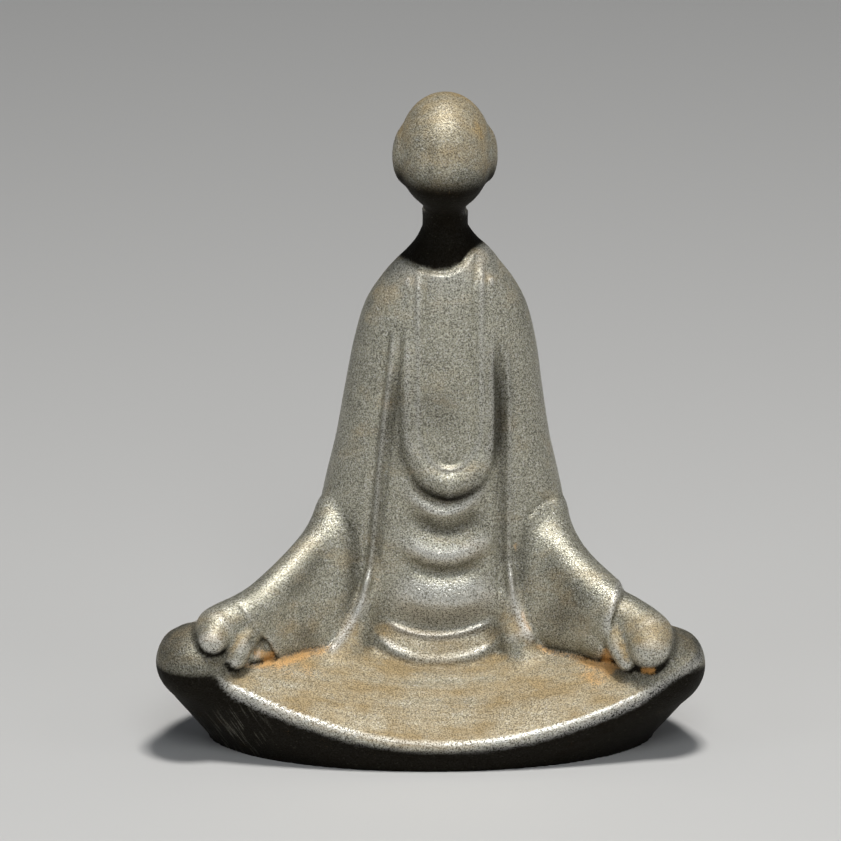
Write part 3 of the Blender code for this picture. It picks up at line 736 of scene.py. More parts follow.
@dataclass(frozen=True)
class Lap:
    """The hull of the crossed legs, with the hem that lies on it and the knees."""

    levels: Tuple[Tuple[float, ...], ...] = (
        (-3.0, 0.0, 31.6, -17.8, -1.0, 18.4, 2.0),
        (0.0, 0.0, 32.9, -18.6, -1.0, 19.2, 2.0),
        (5.0, 0.1, 36.2, -20.3, -3.5, 20.0, 2.2),
        (10.5, 0.1, 39.1, -20.3, -8.0, 19.4, 2.6),
        (16.0, 0.1, 39.5, -19.6, -12.0, 17.0, 2.8),
        (21.0, 0.0, 37.0, -18.6, -12.0, 14.0, 2.8),
    )
    back_squareness: float = 1.8
    rim: Rim = Rim()
    rim_round: float = 1.4
    blend: float = 1.0
    hem: Tuple[float, ...] = (1.0, 12.6, -6.4, 5.0, 12.0, 2.9)
    hem_thick: float = 0.9
    hem_rise: float = 0.5
    hem_spread: float = 0.004
    hem_round: float = 0.6
    hem_blend: float = 1.4
    hem_foot: Tuple[Drawn, ...] = ((-7.5, 20.4), (-3.1, 18.2), (1.5, 17.7), (6.0, 18.6), (9.7, 20.4))
    hem_edge: Tuple[Drawn, ...] = (
        (-8.6, 16.8), (-4.4, 14.9), (0.6, 14.1), (5.8, 14.7), (10.2, 16.3),
    )
    hem_edge_width: float = 0.75
    hem_edge_height: float = 0.2
    hem_edge_depth: float = 0.12
    hem_edge_gap: float = 1.1
    hem_foot_width: float = 0.45
    hem_foot_lip: float = 0.5
    left_knee: Tuple[Spot, Spot] = ((-34.4, -12.6, 15.1), (5.9, 6.2, 5.8))
    right_knee: Tuple[Spot, Spot] = ((34.5, -10.6, 14.0), (5.7, 6.2, 5.7))
    knee_blend: float = 2.0
    crease: Tuple[Drawn, ...] = ((-16.2, 8.6), (-14.4, 8.3), (-12.6, 8.8), (-10.8, 9.8))
    crease_width: float = 0.5
    crease_depth: float = 0.22
    crease_fade: float = 0.35
    lines: Tuple[Tuple[Drawn, ...], ...] = (
        ((-15.0, 12.6), (-4.6, 11.4), (5.8, 11.4), (16.1, 12.6)),
        ((-8.0, 9.4), (0.5, 8.7), (9.0, 8.9), (17.5, 10.2)),
    )
    line_width: float = 0.7
    line_depth: float = 0.1
    line_fade: float = 0.4

    def hull(self) -> Fused:
        """Return the hull with its hollow."""
        column = Loft(self.levels, self.back_squareness)
        return Hollowed(column, self.rim, self.rim_round), self.blend

    def hem_layer(self) -> Fused:
        """Return the hem, a thin layer of cloth that follows the hollow before the belly.

        Returns:
            The layer, with its fillet to the robe.
        """
        column = Loft(tuple((level[0], *self.hem) for level in self.levels), self.back_squareness)
        middle, _, front, *_ = self.hem
        layer = Hollowed(column, self.rim, self.hem_round, self.hem_thick, self.hem_rise, self.hem_spread,
                         middle, front)
        return layer, self.hem_blend

    def knees(self) -> List[Fused]:
        """Return the knees."""
        return [(Ball(*knee), self.knee_blend) for knee in (self.left_knee, self.right_knee)]

    def marks(self) -> List[Mark]:
        """Return the lip at the foot of the belly and the faint lines of the lap.

        Returns:
            The lip, the hem's edge, the crease beside it and the lines of the lap.
        """
        under = tuple((across, up - self.hem_edge_gap) for across, up in self.hem_edge)
        marks = [
            Fold(self.hem_foot, self.hem_foot_width, self.hem_foot_lip),
            Fold(self.hem_edge, self.hem_edge_width, self.hem_edge_height),
            Fold(under, self.hem_edge_width, -self.hem_edge_depth),
            Fold(self.crease, self.crease_width, -self.crease_depth, fade=self.crease_fade),
        ]
        for line in self.lines:
            marks.append(Fold(line, self.line_width, -self.line_depth, fade=self.line_fade))
        return marks


@dataclass(frozen=True)
class Sleeve(Mass):
    """Hanging cloth, fused with the cloth that rests on the thigh and cut off at the cuff."""

    hang: Curtain
    rest: Limb
    blend: float
    cuff: Tuple[Drawn, Drawn]
    rounding: float

    def field(self, points: Points) -> Points:
        """Return about how far each point lies outside the sleeve.

        Args:
            points: The places, in units.

        Returns:
            About how far each point lies outside, less than 0 inside.
        """
        cloth = smooth_union(self.hang.field(points), self.rest.field(points), self.blend)
        start, stop = np.array(self.cuff)
        along = (stop - start) / np.linalg.norm(stop - start)
        offset = as_drawn(points) - start
        past = along[1] * offset[:, 0] - along[0] * offset[:, 1]
        return smooth_meet(cloth, past, self.rounding)


@dataclass(frozen=True)
class Arm:
    """A sleeve with its forearm and its cuff, and the hand that comes out of it."""

    ridge: Tuple[Spot, ...]
    ridge_radii: Tuple[float, ...]
    inner: Tuple[Spot, ...]
    foot: Tuple[Spot, ...]
    rest: Tuple[Spot, ...]
    hand: Tuple[Spot, ...]
    hand_radii: Tuple[float, ...]
    palm: Tuple[Spot, ...]
    palm_radii: Tuple[float, ...]
    thumb: Tuple[Spot, ...]
    thumb_radii: Tuple[float, ...]
    cuff: Tuple[Drawn, ...]
    creases: Tuple[Mark, ...] = ()
    inner_radii: Tuple[float, ...] = (1.7, 2.4, 2.4, 2.6)
    foot_radii: Tuple[float, ...] = (3.2, 3.3, 2.9, 2.7)
    rest_radii: Tuple[float, ...] = (6.4, 4.8, 3.2)
    rest_blend: float = 4.0
    sleeve_blend: float = 1.2
    hand_blend: float = 0.9
    thumb_blend: float = 0.6
    cuff_round: float = 0.7
    cuff_width: float = 0.4
    cuff_depth: float = 0.25

    @classmethod
    def left(cls) -> "Arm":
        """Return the arm on the side of -X.

        Returns:
            The arm.
        """
        return cls(
            ridge=((-14.1, 1.8, 33.0), (-19.6, -4.5, 27.5), (-26.1, -10.7, 22.9), (-30.3, -13.9, 20.6)),
            ridge_radii=(2.2, 2.5, 2.7, 2.9),
            inner=((-14.8, 1.2, 34.6), (-14.0, -1.2, 30.0), (-13.5, -2.4, 25.0), (-14.6, -2.6, 19.0)),
            foot=((-15.6, -2.0, 16.7), (-18.0, -4.4, 16.2), (-21.6, -6.8, 15.9), (-25.5, -10.2, 15.6)),
            rest=((-15.0, 2.5, 19.8), (-20.8, -2.6, 18.8), (-27.2, -7.8, 18.2)),
            hand=((-24.5, -9.6, 22.6), (-28.4, -12.4, 21.9), (-31.2, -14.2, 20.7), (-32.1, -17.0, 19.9)),
            hand_radii=(3.0, 3.1, 3.4, 2.1),
            palm=((-23.2, -8.3, 16.9), (-26.6, -11.6, 16.5)),
            palm_radii=(2.5, 2.4),
            thumb=((-26.4, -12.4, 20.6), (-27.9, -14.9, 18.8), (-28.8, -15.5, 16.8)),
            thumb_radii=(2.3, 1.9),
            cuff=((-28.6, 23.4), (-27.4, 22.0), (-26.0, 19.8), (-24.8, 18.0), (-23.8, 16.3), (-22.4, 14.4)),
            creases=(
                Fold(((-26.3, 18.0), (-25.9, 16.8), (-25.6, 15.3)), 0.35, -0.35),
                Dent((-26.1, 17.1), 0.5, 0.6),
            ),
        )

    @classmethod
    def right(cls) -> "Arm":
        """Return the arm on the side of +X.

        Returns:
            The arm.
        """
        return cls(
            ridge=((16.9, 2.4, 31.5), (20.4, -3.4, 26.9), (27.1, -9.7, 22.4), (31.3, -12.8, 19.8)),
            ridge_radii=(3.5, 3.6, 3.5, 3.4),
            inner=((18.0, 1.6, 34.6), (15.6, -0.6, 30.2), (15.3, -2.0, 25.0), (16.9, -2.2, 19.0)),
            foot=((17.0, -1.6, 17.2), (20.2, -3.9, 16.6), (24.2, -6.3, 16.0), (28.0, -9.2, 15.6)),
            rest=((16.2, 2.8, 19.8), (22.0, -2.0, 18.8), (28.4, -6.8, 18.0)),
            hand=((26.0, -8.6, 22.4), (29.4, -10.4, 21.0), (32.0, -12.8, 19.2), (32.4, -14.6, 17.8)),
            hand_radii=(3.1, 3.2, 3.7, 3.3),
            palm=((25.0, -8.6, 17.6), (30.6, -11.6, 16.6)),
            palm_radii=(3.0, 2.7),
            thumb=((26.6, -11.4, 20.2), (27.6, -13.0, 17.8), (28.9, -14.2, 15.7)),
            thumb_radii=(1.9, 1.5),
            cuff=((25.2, 15.2), (25.4, 17.4), (25.9, 19.5), (26.7, 21.4), (27.8, 23.8)),
            creases=(Fold(((18.8, 38.4), (16.8, 37.6), (15.3, 36.4), (13.9, 34.8)), 0.45, -0.35),),
        )

    def sleeve(self) -> List[Fused]:
        """Return the sleeve.

        Returns:
            The sleeve, with its fillet to the body.
        """
        ridge, foot = Limb(self.ridge, self.ridge_radii), Limb(self.foot, self.foot_radii)
        hang = Curtain(ridge, foot, Limb(self.inner, self.inner_radii))
        rest = Limb(self.rest, self.rest_radii)
        cuff = (self.cuff[0], self.cuff[-1])
        return [(Sleeve(hang, rest, self.rest_blend, cuff, self.cuff_round), self.sleeve_blend)]

    def fingers(self) -> List[Fused]:
        """Return the closed hand, like a mitten from the wrist to the fingertips."""
        return [(Limb(self.hand, self.hand_radii), self.hand_blend)]

    def palms(self) -> List[Fused]:
        """Return the palm, which rests on the lap."""
        return [(Limb(self.palm, self.palm_radii), self.hand_blend)]

    def thumbs(self) -> List[Fused]:
        """Return the thumb."""
        return [(Limb(self.thumb, self.thumb_radii), self.thumb_blend)]

    def marks(self) -> List[Mark]:
        """Return the line of the cuff and the small creases."""
        return [Fold(self.cuff, self.cuff_width, -self.cuff_depth), *self.creases]


@dataclass(frozen=True)
class Figure:
    """The whole figure in units: the masses fused in order, and the lines on its skin.

    Each span says how far from a mass, or how far turned, the skin starts to belong to a
    part and how far it wholly does.
    """

    head: Head = Head()
    robe: Robe = Robe()
    lap: Lap = Lap()
    left: Arm = Arm.left()
    right: Arm = Arm.right()
    longest_step: float = 0.9
    least_steepness: float = 0.05
    nape: float = 74.5
    skin_line: Span = (0.3, 1.2)
    knee_top: Span = (0.2, 2.0)
    seam_line: Span = (0.4, 1.7)
    bare_line: Span = (0.0, 0.5)
    chin: Span = (79.0, 82.0)
    neck_skin: Span = (0.4, 1.4)
    front_turn: Span = (0.05, 0.4)
    back_turn: Span = (0.1, 0.5)

    @cached_property
    def masses(self) -> List[Fused]:
        """Every mass with its fillet to the masses before it.

        Returns:
            The masses, in the order they are fused in.
        """
        return [
            *self.head.masses(),
            *self.robe.masses(),
            self.lap.hem_layer(),
            self.lap.hull(),
            (self.robe.collar(), self.robe.collar_blend),
            *self.robe.webs(),
            *self.left.sleeve(),
            *self.right.sleeve(),
            *self.lap.knees(),
            *self.left.fingers(),
            *self.right.fingers(),
            *self.left.palms(),
            *self.right.palms(),
            *self.left.thumbs(),
            *self.right.thumbs(),
        ]

    @cached_property
    def front_marks(self) -> List[Mark]:
        """Every line drawn on the front."""
        parts = (self.head, self.robe, self.lap, self.left, self.right)
        return [mark for part in parts for mark in part.marks()]

    def field(self, points: Points) -> Points:
        """Return about how far each point lies outside the figure.

        Args:
            points: The places, in units.

        Returns:
            About how far each point lies outside, less than 0 inside.
        """
        (first, _), *others = self.masses
        field = first.field(points)
        for mass, blend in others:
            field = smooth_union(field, mass.field(points), blend)
        return field

    def outward(self, points: Points, reach: float = 0.05) -> Tuple[Points, Points]:
        """Measure the field and its slope.

        Args:
            points: The places, in units.
            reach: How far apart the slope's two readings are.

        Returns:
            The field at each point, and its slope there.
        """
        here = self.field(points)
        slope = np.empty_like(points)
        for axis in range(3):
            shift = np.zeros(3)
            shift[axis] = reach
            slope[:, axis] = (self.field(points + shift) - here) / reach
        return here, slope

    def normals(self, points: Points) -> Points:
        """Return the skin's normals at the points."""
        _, slope = self.outward(points)
        return slope / np.linalg.norm(slope, axis=1)[:, None]

    def bend(self, points: Points, reach: float = 0.8) -> Points:
        """Return how strongly the skin bends at each point, less than 0 in a hollow.

        Args:
            points: The places, in units.
            reach: How far away the field is read for it.

        Returns:
            The bend at each point.
        """
        total = -6 * self.field(points)
        for axis in range(3):
            shift = np.zeros(3)
            shift[axis] = reach
            total += self.field(points + shift) + self.field(points - shift)
        return total / reach**2

    def settle(self, points: Points, steps: int) -> Points:
        """Move points onto the skin by short steps.

        Args:
            points: The places to move, in units.
            steps: The number of steps.

        Returns:
            The moved places.
        """
        for _ in range(steps):
            here, slope = self.outward(points)
            steep = np.maximum(np.sum(slope * slope, axis=1), self.least_steepness)
            step = np.clip(here, -self.longest_step, self.longest_step) / steep
            points = points - step[:, None] * slope
        return points

    def throat(self, points: Points, normals: Points) -> Points:
        """Return where the skin is bare, from the neckline up to the head.

        Args:
            points: The places, in units.
            normals: The skin's normals there.

        Returns:
            1 where the skin is bare, 0 where it is clothed.
        """
        line = np.array(sorted(self.robe.neckline))
        drawn = as_drawn(points)
        above = drawn[:, 1] - np.interp(drawn[:, 0], line[:, 0], line[:, 1])
        above = np.where(facing(normals) > 0, above, points[:, 2] - self.nape)
        neck = Limb(self.head.neck, self.head.neck_radii).field(points)
        below = 1 - smooth_step(points[:, 2], *self.chin)
        near = 1 - smooth_step(neck, *self.neck_skin)
        return smooth_step(above, *self.bare_line) * np.maximum(below, near)

    def knee(self, points: Points) -> Points:
        """Return how near each point is to the top of a knee."""
        fields = [mass.field(points) for mass, _ in self.lap.knees()]
        return 1 - smooth_step(np.minimum(*fields), *self.knee_top)

    def legs(self, points: Points) -> Points:
        """Return how near each point is to the skin of the legs.

        Args:
            points: The places, in units.

        Returns:
            1 on the skin, 0 away from it.
        """
        masses = [self.lap.hull(), *self.lap.knees()]
        field = np.min([mass.field(points) for mass, _ in masses], axis=0)
        return 1 - smooth_step(np.abs(field), *self.skin_line)

    def seam(self, points: Points) -> Points:
        """Return how near each point is to where a sleeve or a palm meets the lap.

        Args:
            points: The places, in units.

        Returns:
            1 on the seam, 0 away from it.
        """
        hull = np.abs(self.lap.hull()[0].field(points))
        cloth = [arm.sleeve() + arm.palms() for arm in (self.left, self.right)]
        near = np.min([np.abs(mass.field(points)) for masses in cloth for mass, _ in masses], axis=0)
        return 1 - smooth_step(np.maximum(hull, near), *self.seam_line)

    def lift(self, points: Points, normals: Points) -> Points:
        """Return how far the drawn lines lift the skin at each point.

        Args:
            points: The places, in units.
            normals: The skin's normals there.

        Returns:
            The lift at each point, in units.
        """
        drawn = as_drawn(points)
        before = sum(mark.relief(drawn) for mark in self.front_marks)
        behind = sum(mark.relief(points[:, [0, 2]]) for mark in self.robe.back_marks())
        front = smooth_step(facing(normals), *self.front_turn)
        return before * front + behind * smooth_step(normals[:, 1], *self.back_turn)


class Note(Enum):
    """What the skin's vertices carry for the finish, from 0 to 1."""

    DUST = "dust"
    CREASE = "crease"
    RUST = "rust"
    # Painted shade.
    GRIME = "grime"
    # Wear, with painted highlights.
    EDGE = "edge"
    BRUSHED = "brushed"


@dataclass(frozen=True)
class Survey:
    """What is measured on the skin before the drawn lines lift it."""

    figure: Figure
    points: Points
    normals: Points
    lift: Points

    @cached_property
    def up(self) -> Points:
        """How far each normal points up."""
        return self.normals[:, 2]

    @cached_property
    def front(self) -> Points:
        """Whether each point is seen from the front."""
        return facing(self.normals) > 0

    @cached_property
    def bend(self) -> Points:
        """How strongly the skin bends."""
        return self.figure.bend(self.points)

    @cached_property
    def knee(self) -> Points:
        """How near each point is to the top of a knee."""
        return self.figure.knee(self.points)

    @cached_property
    def hull(self) -> Points:
        """How near each point is to the skin of the legs."""
        return self.figure.legs(self.points)

    def above(self, span: Span) -> Points:
        """Return how far each point is up a span of heights, from 0 to 1."""
        return smooth_step(self.points[:, 2], *span)

    def facing_up(self, span: Span) -> Points:
        """Return how far each normal is turned up a span, from 0 to 1."""
        return smooth_step(self.up, *span)

    def facing_down(self, span: Span) -> Points:
        """Return how far each normal is turned down a span, from 0 to 1."""
        return smooth_step(-self.up, *span)

    def marked(self, marks: Tuple[Mark, ...]) -> Points:
        """Return how strongly marks drawn on the front cover each point."""
        drawn = as_drawn(self.points)
        return sum(mark.relief(drawn) for mark in marks) * self.front


@dataclass(frozen=True)
class PatinaAndPaintedLight:
    """Where the dust, the rust, the painted shade, and the wear with painted highlights lie on the skin.

    A span says where a share starts to rise and where it is whole: in units of height, in
    turn of the normal up or down, or in bend of the skin.
    """

    head: Span = (76.0, 82.0)
    thighs: Span = (19.0, 25.0)
    shoulders: Span = (60.0, 68.0)
    # The brim, the rim of the lap, is painted bright where its skin bends and turns up: a painted highlight
    # there, with wear that rubs the dust off.
    brim_bend: Span = (0.3, 0.6)
    brim_up: Span = (0.3, 0.6)
    brim_clean: float = 0.8
    brim_wear_and_sheen: float = 0.9
    head_dust: float = 0.45
    crown_dust: float = 0.5
    lap_dust_up: Span = (0.0, 0.45)
    knee_clean: float = 0.65
    robe_dust: float = 0.1
    shoulder_dust: float = 0.4
    robe_dust_up: Span = (0.1, 0.9)
    crease_bend: Span = (0.1, 0.7)
    groove_most: float = 0.5
    # Painted shade: the hull, the head and the robe are darker where they face down, and the skin is darker
    # in shelter from the open air. The tops of the knees are darker too.
    hull_shade: Span = (-0.12, 0.2)
    head_shade: Span = (-0.1, 0.45)
    robe_shade: Span = (0.1, 0.8)
    robe_shade_share: float = 0.6
    knee_darkening: float = 0.38
    shelter_reach: float = 5.0
    shelter: Span = (0.5, 1.0)
    shelter_share: float = 0.2
    seam_up: Span = (-0.6, 0.2)
    seam_rust: float = 0.8
    # Crests, raised lines, the brim and the rubbed gussets are painted whitish: painted highlights where the
    # light catches them, with wear.
    crest_bend: Span = (0.35, 0.9)
    crest_wear_and_sheen: float = 0.7
    line_wear_and_sheen: float = 1.4
    line_wear_and_sheen_most: float = 0.8
    rust_patches: Tuple[Mark, ...] = (
        Fold(((-26.4, 15.4), (-24.6, 15.2), (-22.6, 14.8)), 0.7, 1.0),
        Fold(((-26.0, 13.6), (-19.0, 12.6), (-12.0, 13.0)), 1.7, 0.55, fade=0.4),
        Fold(((12.2, 32.4), (12.8, 29.6)), 0.45, 0.55, fade=0.4),
        Fold(((13.2, 22.4), (13.8, 19.8), (15.0, 18.0)), 0.5, 0.9, fade=0.3),
        Fold(((25.8, 16.6), (26.0, 14.2), (26.8, 11.6)), 0.8, 1.1),
        Fold(((20.0, 13.6), (24.0, 11.6), (28.0, 9.6)), 1.7, 0.5, fade=0.4),
        Fold(((30.6, 13.0), (33.2, 12.8)), 0.6, 0.9),
    )
    stains: Tuple[Mark, ...] = (
        Fold(((16.0, 31.0), (20.0, 23.0), (24.0, 18.0)), 3.4, 0.4, fade=0.3),
        Fold(((-22.0, 20.0), (-16.5, 17.5)), 2.6, 0.4, fade=0.3),
        Fold(((-6.0, 66.0), (-7.0, 70.0)), 2.0, 0.35, fade=0.3),
        Fold(((4.0, 34.0), (8.0, 30.0)), 2.0, 0.3, fade=0.3),
        # Less dust here paints the hem's shadow on the lap.
        Fold(((-13.0, 12.0), (0.0, 11.0), (15.0, 12.0)), 1.7, -0.25, fade=0.3),
        Fold(((-4.0, 6.8), (10.0, 6.4)), 1.5, -0.2, fade=0.3),
        Fold(((21.0, 9.0), (27.0, 11.6)), 1.3, -0.25, fade=0.3),
        Fold(((-11.5, 20.6), (-3.8, 16.6), (1.0, 15.9), (6.0, 16.6), (13.0, 20.4)), 1.9, -0.5),
    )
    # The shades are painted shade: dark bands in the grooves beside the collar and the open edges, on the
    # collar's roll and between the folds of the belly, in the valleys and below the ridges of the sleeves, on
    # the lower chest, on the hem and on the front of the lap.
    shades: Tuple[Mark, ...] = (
        Fold(((-4.8, 58.0), (-4.4, 47.0), (-2.6, 40.6)), 1.5, 0.3, fade=0.3),
        Fold(((9.9, 63.0), (10.2, 50.0), (9.4, 42.0)), 1.5, 0.38, fade=0.3),
        Fold(((-3.4, 44.5), (-1.6, 40.0), (2.0, 38.2), (6.2, 39.4), (8.0, 43.6)), 1.3, 0.42, fade=0.3),
        Fold(((-3.6, 37.0), (2.6, 33.0), (9.0, 37.0)), 1.4, 0.42, fade=0.3),
        Fold(((-4.0, 29.8), (2.4, 27.6), (9.0, 29.8)), 1.2, 0.32, fade=0.3),
        Fold(((-6.0, 22.8), (1.2, 20.2), (8.8, 22.8)), 1.1, 0.3, fade=0.3),
        Fold(((-5.0, 60.0), (-7.4, 40.0), (-8.4, 26.0)), 0.9, 0.35, fade=0.2),
        Fold(((10.6, 60.0), (10.7, 38.0), (10.8, 26.0)), 0.8, 0.35, fade=0.2),
        Fold(((-12.4, 37.4), (-11.4, 30.0), (-11.6, 24.0), (-13.4, 19.0)), 1.2, 0.38, fade=0.2),
        Fold(((15.6, 35.4), (13.4, 29.4), (13.9, 22.0)), 1.2, 0.35, fade=0.3),
        Fold(((16.6, 23.0), (22.0, 18.6)), 2.8, 0.3, fade=0.4),
        Fold(((-20.4, 17.2), (-16.0, 18.2)), 1.6, 0.25, fade=0.4),
        Fold(((-15.0, 8.8), (-3.0, 6.2), (9.0, 6.2), (21.0, 9.2)), 2.4, 0.1, fade=0.3),
        Fold(((-9.8, 19.6), (-3.8, 16.6), (1.0, 15.9), (6.0, 16.6), (11.4, 19.2)), 1.9, 0.34, fade=0.1),
        Fold(((1.0, 56.0), (1.6, 46.6)), 4.0, 0.2, fade=0.4),
        Fold(((-12.9, 35.5), (-17.3, 28.4), (-22.3, 22.4)), 1.5, 0.26, fade=0.3),
        Fold(((16.2, 34.0), (19.4, 27.6), (24.4, 22.0)), 1.5, 0.22, fade=0.3),
    )
    # Painted highlights along the crests of the gussets, with their wear.
    rubbed_and_sheen: Tuple[Mark, ...] = (
        Fold(((-9.6, 25.0), (-10.2, 22.8), (-11.8, 19.6), (-13.4, 17.2), (-15.2, 15.0)), 0.55, 0.9, fade=0.2),
        Fold(((11.8, 26.0), (12.2, 23.6), (13.2, 20.6), (14.0, 18.6), (15.4, 16.6)), 0.55, 0.9, fade=0.2),
    )
    brushed: Tuple[Mark, ...] = (
        Fold(((-33.0, 9.0), (-28.0, 3.0), (-24.0, -0.5)), 4.0, 1.0, fade=0.5),
    )

    def brim(self, skin: Survey) -> Points:
        """Return where the rim of the lap is painted bright, a painted highlight with wear."""
        crest = smooth_step(skin.bend, *self.brim_bend) * skin.facing_up(self.brim_up)
        return skin.hull * crest * (1 - skin.knee)

    def dust(self, skin: Survey) -> Points:
        """Return the dust, which lies on what faces up.

        Args:
            skin: What is measured on the skin.

        Returns:
            The dust at each vertex.
        """
        head, legs = skin.above(self.head), 1 - skin.above(self.thighs)
        shoulders = skin.above(self.shoulders) * (1 - head)
        dust = head * (self.head_dust + self.crown_dust * skin.up)
        dust += legs * skin.facing_up(self.lap_dust_up) * (1 - self.knee_clean * skin.knee)
        robe = (self.robe_dust + self.shoulder_dust * shoulders) * skin.facing_up(self.robe_dust_up)
        dust += (1 - head - legs) * robe
        return (dust + skin.marked(self.stains)) * (1 - self.brim_clean * self.brim(skin))

    def crease(self, skin: Survey) -> Points:
        """Return how deep each vertex lies in a hollow or a drawn groove."""
        return smooth_step(-skin.bend, *self.crease_bend) + np.clip(-skin.lift, 0, self.groove_most)

    def grime(self, skin: Survey) -> Points:
        """Return the painted shade, on what faces down, in shelter and in the drawn shades.

        It also darkens the bare neck, the head's shadow painted over dark patina, and the tops
        of the knees.

        Args:
            skin: What is measured on the skin.

        Returns:
            The painted shade at each vertex.
        """
        head, legs = skin.above(self.head), 1 - skin.above(self.thighs)
        grime = skin.hull * skin.facing_down(self.hull_shade) + head * skin.facing_down(self.head_shade)
        robe = (1 - skin.hull) * (1 - head)
        grime += self.robe_shade_share * robe * skin.facing_down(self.robe_shade)
        grime += skin.figure.throat(skin.points, skin.normals) + self.knee_darkening * skin.knee * legs
        open_air = skin.figure.field(skin.points + self.shelter_reach * skin.normals) / self.shelter_reach
        grime += self.shelter_share * smooth_step(1 - open_air, *self.shelter)
        return grime + skin.marked(self.shades)

    def rust(self, skin: Survey) -> Points:
        """Return the rust, along the seams of the lap and in the drawn patches."""
        seam = skin.figure.seam(skin.points) * skin.facing_up(self.seam_up)
        return self.seam_rust * seam * skin.front + skin.marked(self.rust_patches)

    def edge(self, skin: Survey) -> Points:
        """Return the wear and the painted highlights, on crests, on raised lines, along the rim of
        the lap and along the gussets.

        Args:
            skin: What is measured on the skin.

        Returns:
            The wear and painted highlight at each vertex.
        """
        crests = self.crest_wear_and_sheen * smooth_step(skin.bend, *self.crest_bend) * (1 - skin.above(self.head))
        lines = np.clip(self.line_wear_and_sheen * skin.lift, 0, self.line_wear_and_sheen_most)
        return crests + self.brim_wear_and_sheen * self.brim(skin) + lines + skin.marked(self.rubbed_and_sheen)

    def write(self, piece: bpy.types.Object, skin: Survey) -> None:
        """Write what the finish needs to know at each vertex.

        Args:
            piece: The piece, with a vertex for each point of the survey.
            skin: What is measured on the skin.
        """
        notes = {
            Note.DUST: self.dust(skin),
            Note.CREASE: self.crease(skin),
            Note.RUST: self.rust(skin),
            Note.GRIME: self.grime(skin),
            Note.EDGE: self.edge(skin),
            Note.BRUSHED: skin.marked(self.brushed),
        }
        for note, values in notes.items():
            attribute = piece.data.attributes.new(note.value, "FLOAT", "POINT")
            attribute.data.foreach_set("value", np.clip(values, 0, 1).astype(np.float32))


@dataclass(frozen=True)
class Skin:
    """The skin of the casting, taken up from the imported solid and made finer."""

    figure: Figure
    patina_and_painted_light: PatinaAndPaintedLight
    grain: float = 0.00054
    settle_steps: int = 5
    detail_steps: int = 2
    detail_lift: float = 0.03
    foot_snap: float = 0.3
    registrations: int = 4
    registered_within: float = 1.5
    merge_distance: float = 1e-7

    def build(self) -> bpy.types.Object:
        """Make the finished piece, without its material.

        Returns:
            The object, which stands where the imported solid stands.
        """
        low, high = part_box(NODE)
        unit = (high.z - low.z) / self.figure.head.crown()
        piece = self.copy_of_solid()
        shift = self.registered(vertex_array(piece.data) / unit)
        log.info("unit %.5f mm, shift %s", unit * 1000, np.round(shift, 3))
        self.remesh(piece)
        points = self.figure.settle(vertex_array(piece.data) / unit + shift, self.settle_steps)
        self.put(piece, points)
        self.refine(piece, points)
        points = self.figure.settle(vertex_array(piece.data), self.detail_steps)
        normals = self.figure.normals(points)
        lift = self.figure.lift(points, normals)
        self.patina_and_painted_light.write(piece, Survey(self.figure, points, normals, lift))
        points = points + normals * lift[:, None]
        points = np.where(np.abs(points[:, 2:]) < self.foot_snap, points * (1, 1, 0), points)
        places = np.clip((points - shift) * unit, np.array(low), np.array(high))
        self.put(piece, places)
        piece.data.shade_smooth()
        log.info("skin has %d triangles", triangles(piece.data))
        return piece

    def copy_of_solid(self) -> bpy.types.Object:
        """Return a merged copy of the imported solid.

        Returns:
            The copy, in the scene.
        """
        mesh = bmesh.new()
        mesh.from_mesh(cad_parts[NODE].data)
        bmesh.ops.remove_doubles(mesh, verts=mesh.verts, dist=self.merge_distance)
        data = bpy.data.meshes.new("figure_skin")
        mesh.to_mesh(data)
        mesh.free()
        piece = bpy.data.objects.new("figure_skin", data)
        bpy.context.scene.collection.objects.link(piece)
        return piece

    def registered(self, points: Points) -> Points:
        """Find how far the solid is shifted from the figure's own place.

        Args:
            points: The solid's vertices, in units.

        Returns:
            What to add to the solid's places.
        """
        shift = np.zeros(3)
        for _ in range(self.registrations):
            here, slope = self.figure.outward(points + shift)
            near = np.abs(here) < self.registered_within
            answer, *_ = np.linalg.lstsq(slope[near][:, :2], -here[near], rcond=None)
            shift[:2] += answer
        return shift

    def remesh(self, piece: bpy.types.Object) -> None:
        """Rebuild the piece's mesh as one even skin.

        Args:
            piece: The piece, whose mesh is replaced.
        """
        fuse = piece.modifiers.new("Skin", "REMESH")
        fuse.mode = "VOXEL"
        fuse.voxel_size = self.grain
        graph = bpy.context.evaluated_depsgraph_get()
        data = bpy.data.meshes.new_from_object(piece.evaluated_get(graph))
        piece.modifiers.clear()
        old, piece.data = piece.data, data
        bpy.data.meshes.remove(old)

    def refine(self, piece: bpy.types.Object, points: Points) -> None:
        """Split the faces that the drawn lines lift, so that the lines come out sharp.

        Args:
            piece: The piece.
            points: Its vertices' places, in units.
        """
        lifted = np.abs(self.figure.lift(points, self.figure.normals(points))) > self.detail_lift
        mesh = bmesh.new()
        mesh.from_mesh(piece.data)
        edges = [edge for edge in mesh.edges if all(lifted[vert.index] for vert in edge.verts)]
        bmesh.ops.subdivide_edges(mesh, edges=edges, cuts=1, use_grid_fill=True)
        mesh.to_mesh(piece.data)
        mesh.free()

    def put(self, piece: bpy.types.Object, points: Points) -> None:
        """Give the piece's vertices new places."""
        piece.data.vertices.foreach_set("co", points.ravel())
        piece.data.update()


def vertex_array(mesh: bpy.types.Mesh) -> Points:
    """Return a mesh's vertices as rows of numbers.

    Args:
        mesh: The mesh.

    Returns:
        The places, one in each row.
    """
    flat = np.empty(3 * len(mesh.vertices))
    mesh.vertices.foreach_get("co", flat)
    return flat.reshape(-1, 3)


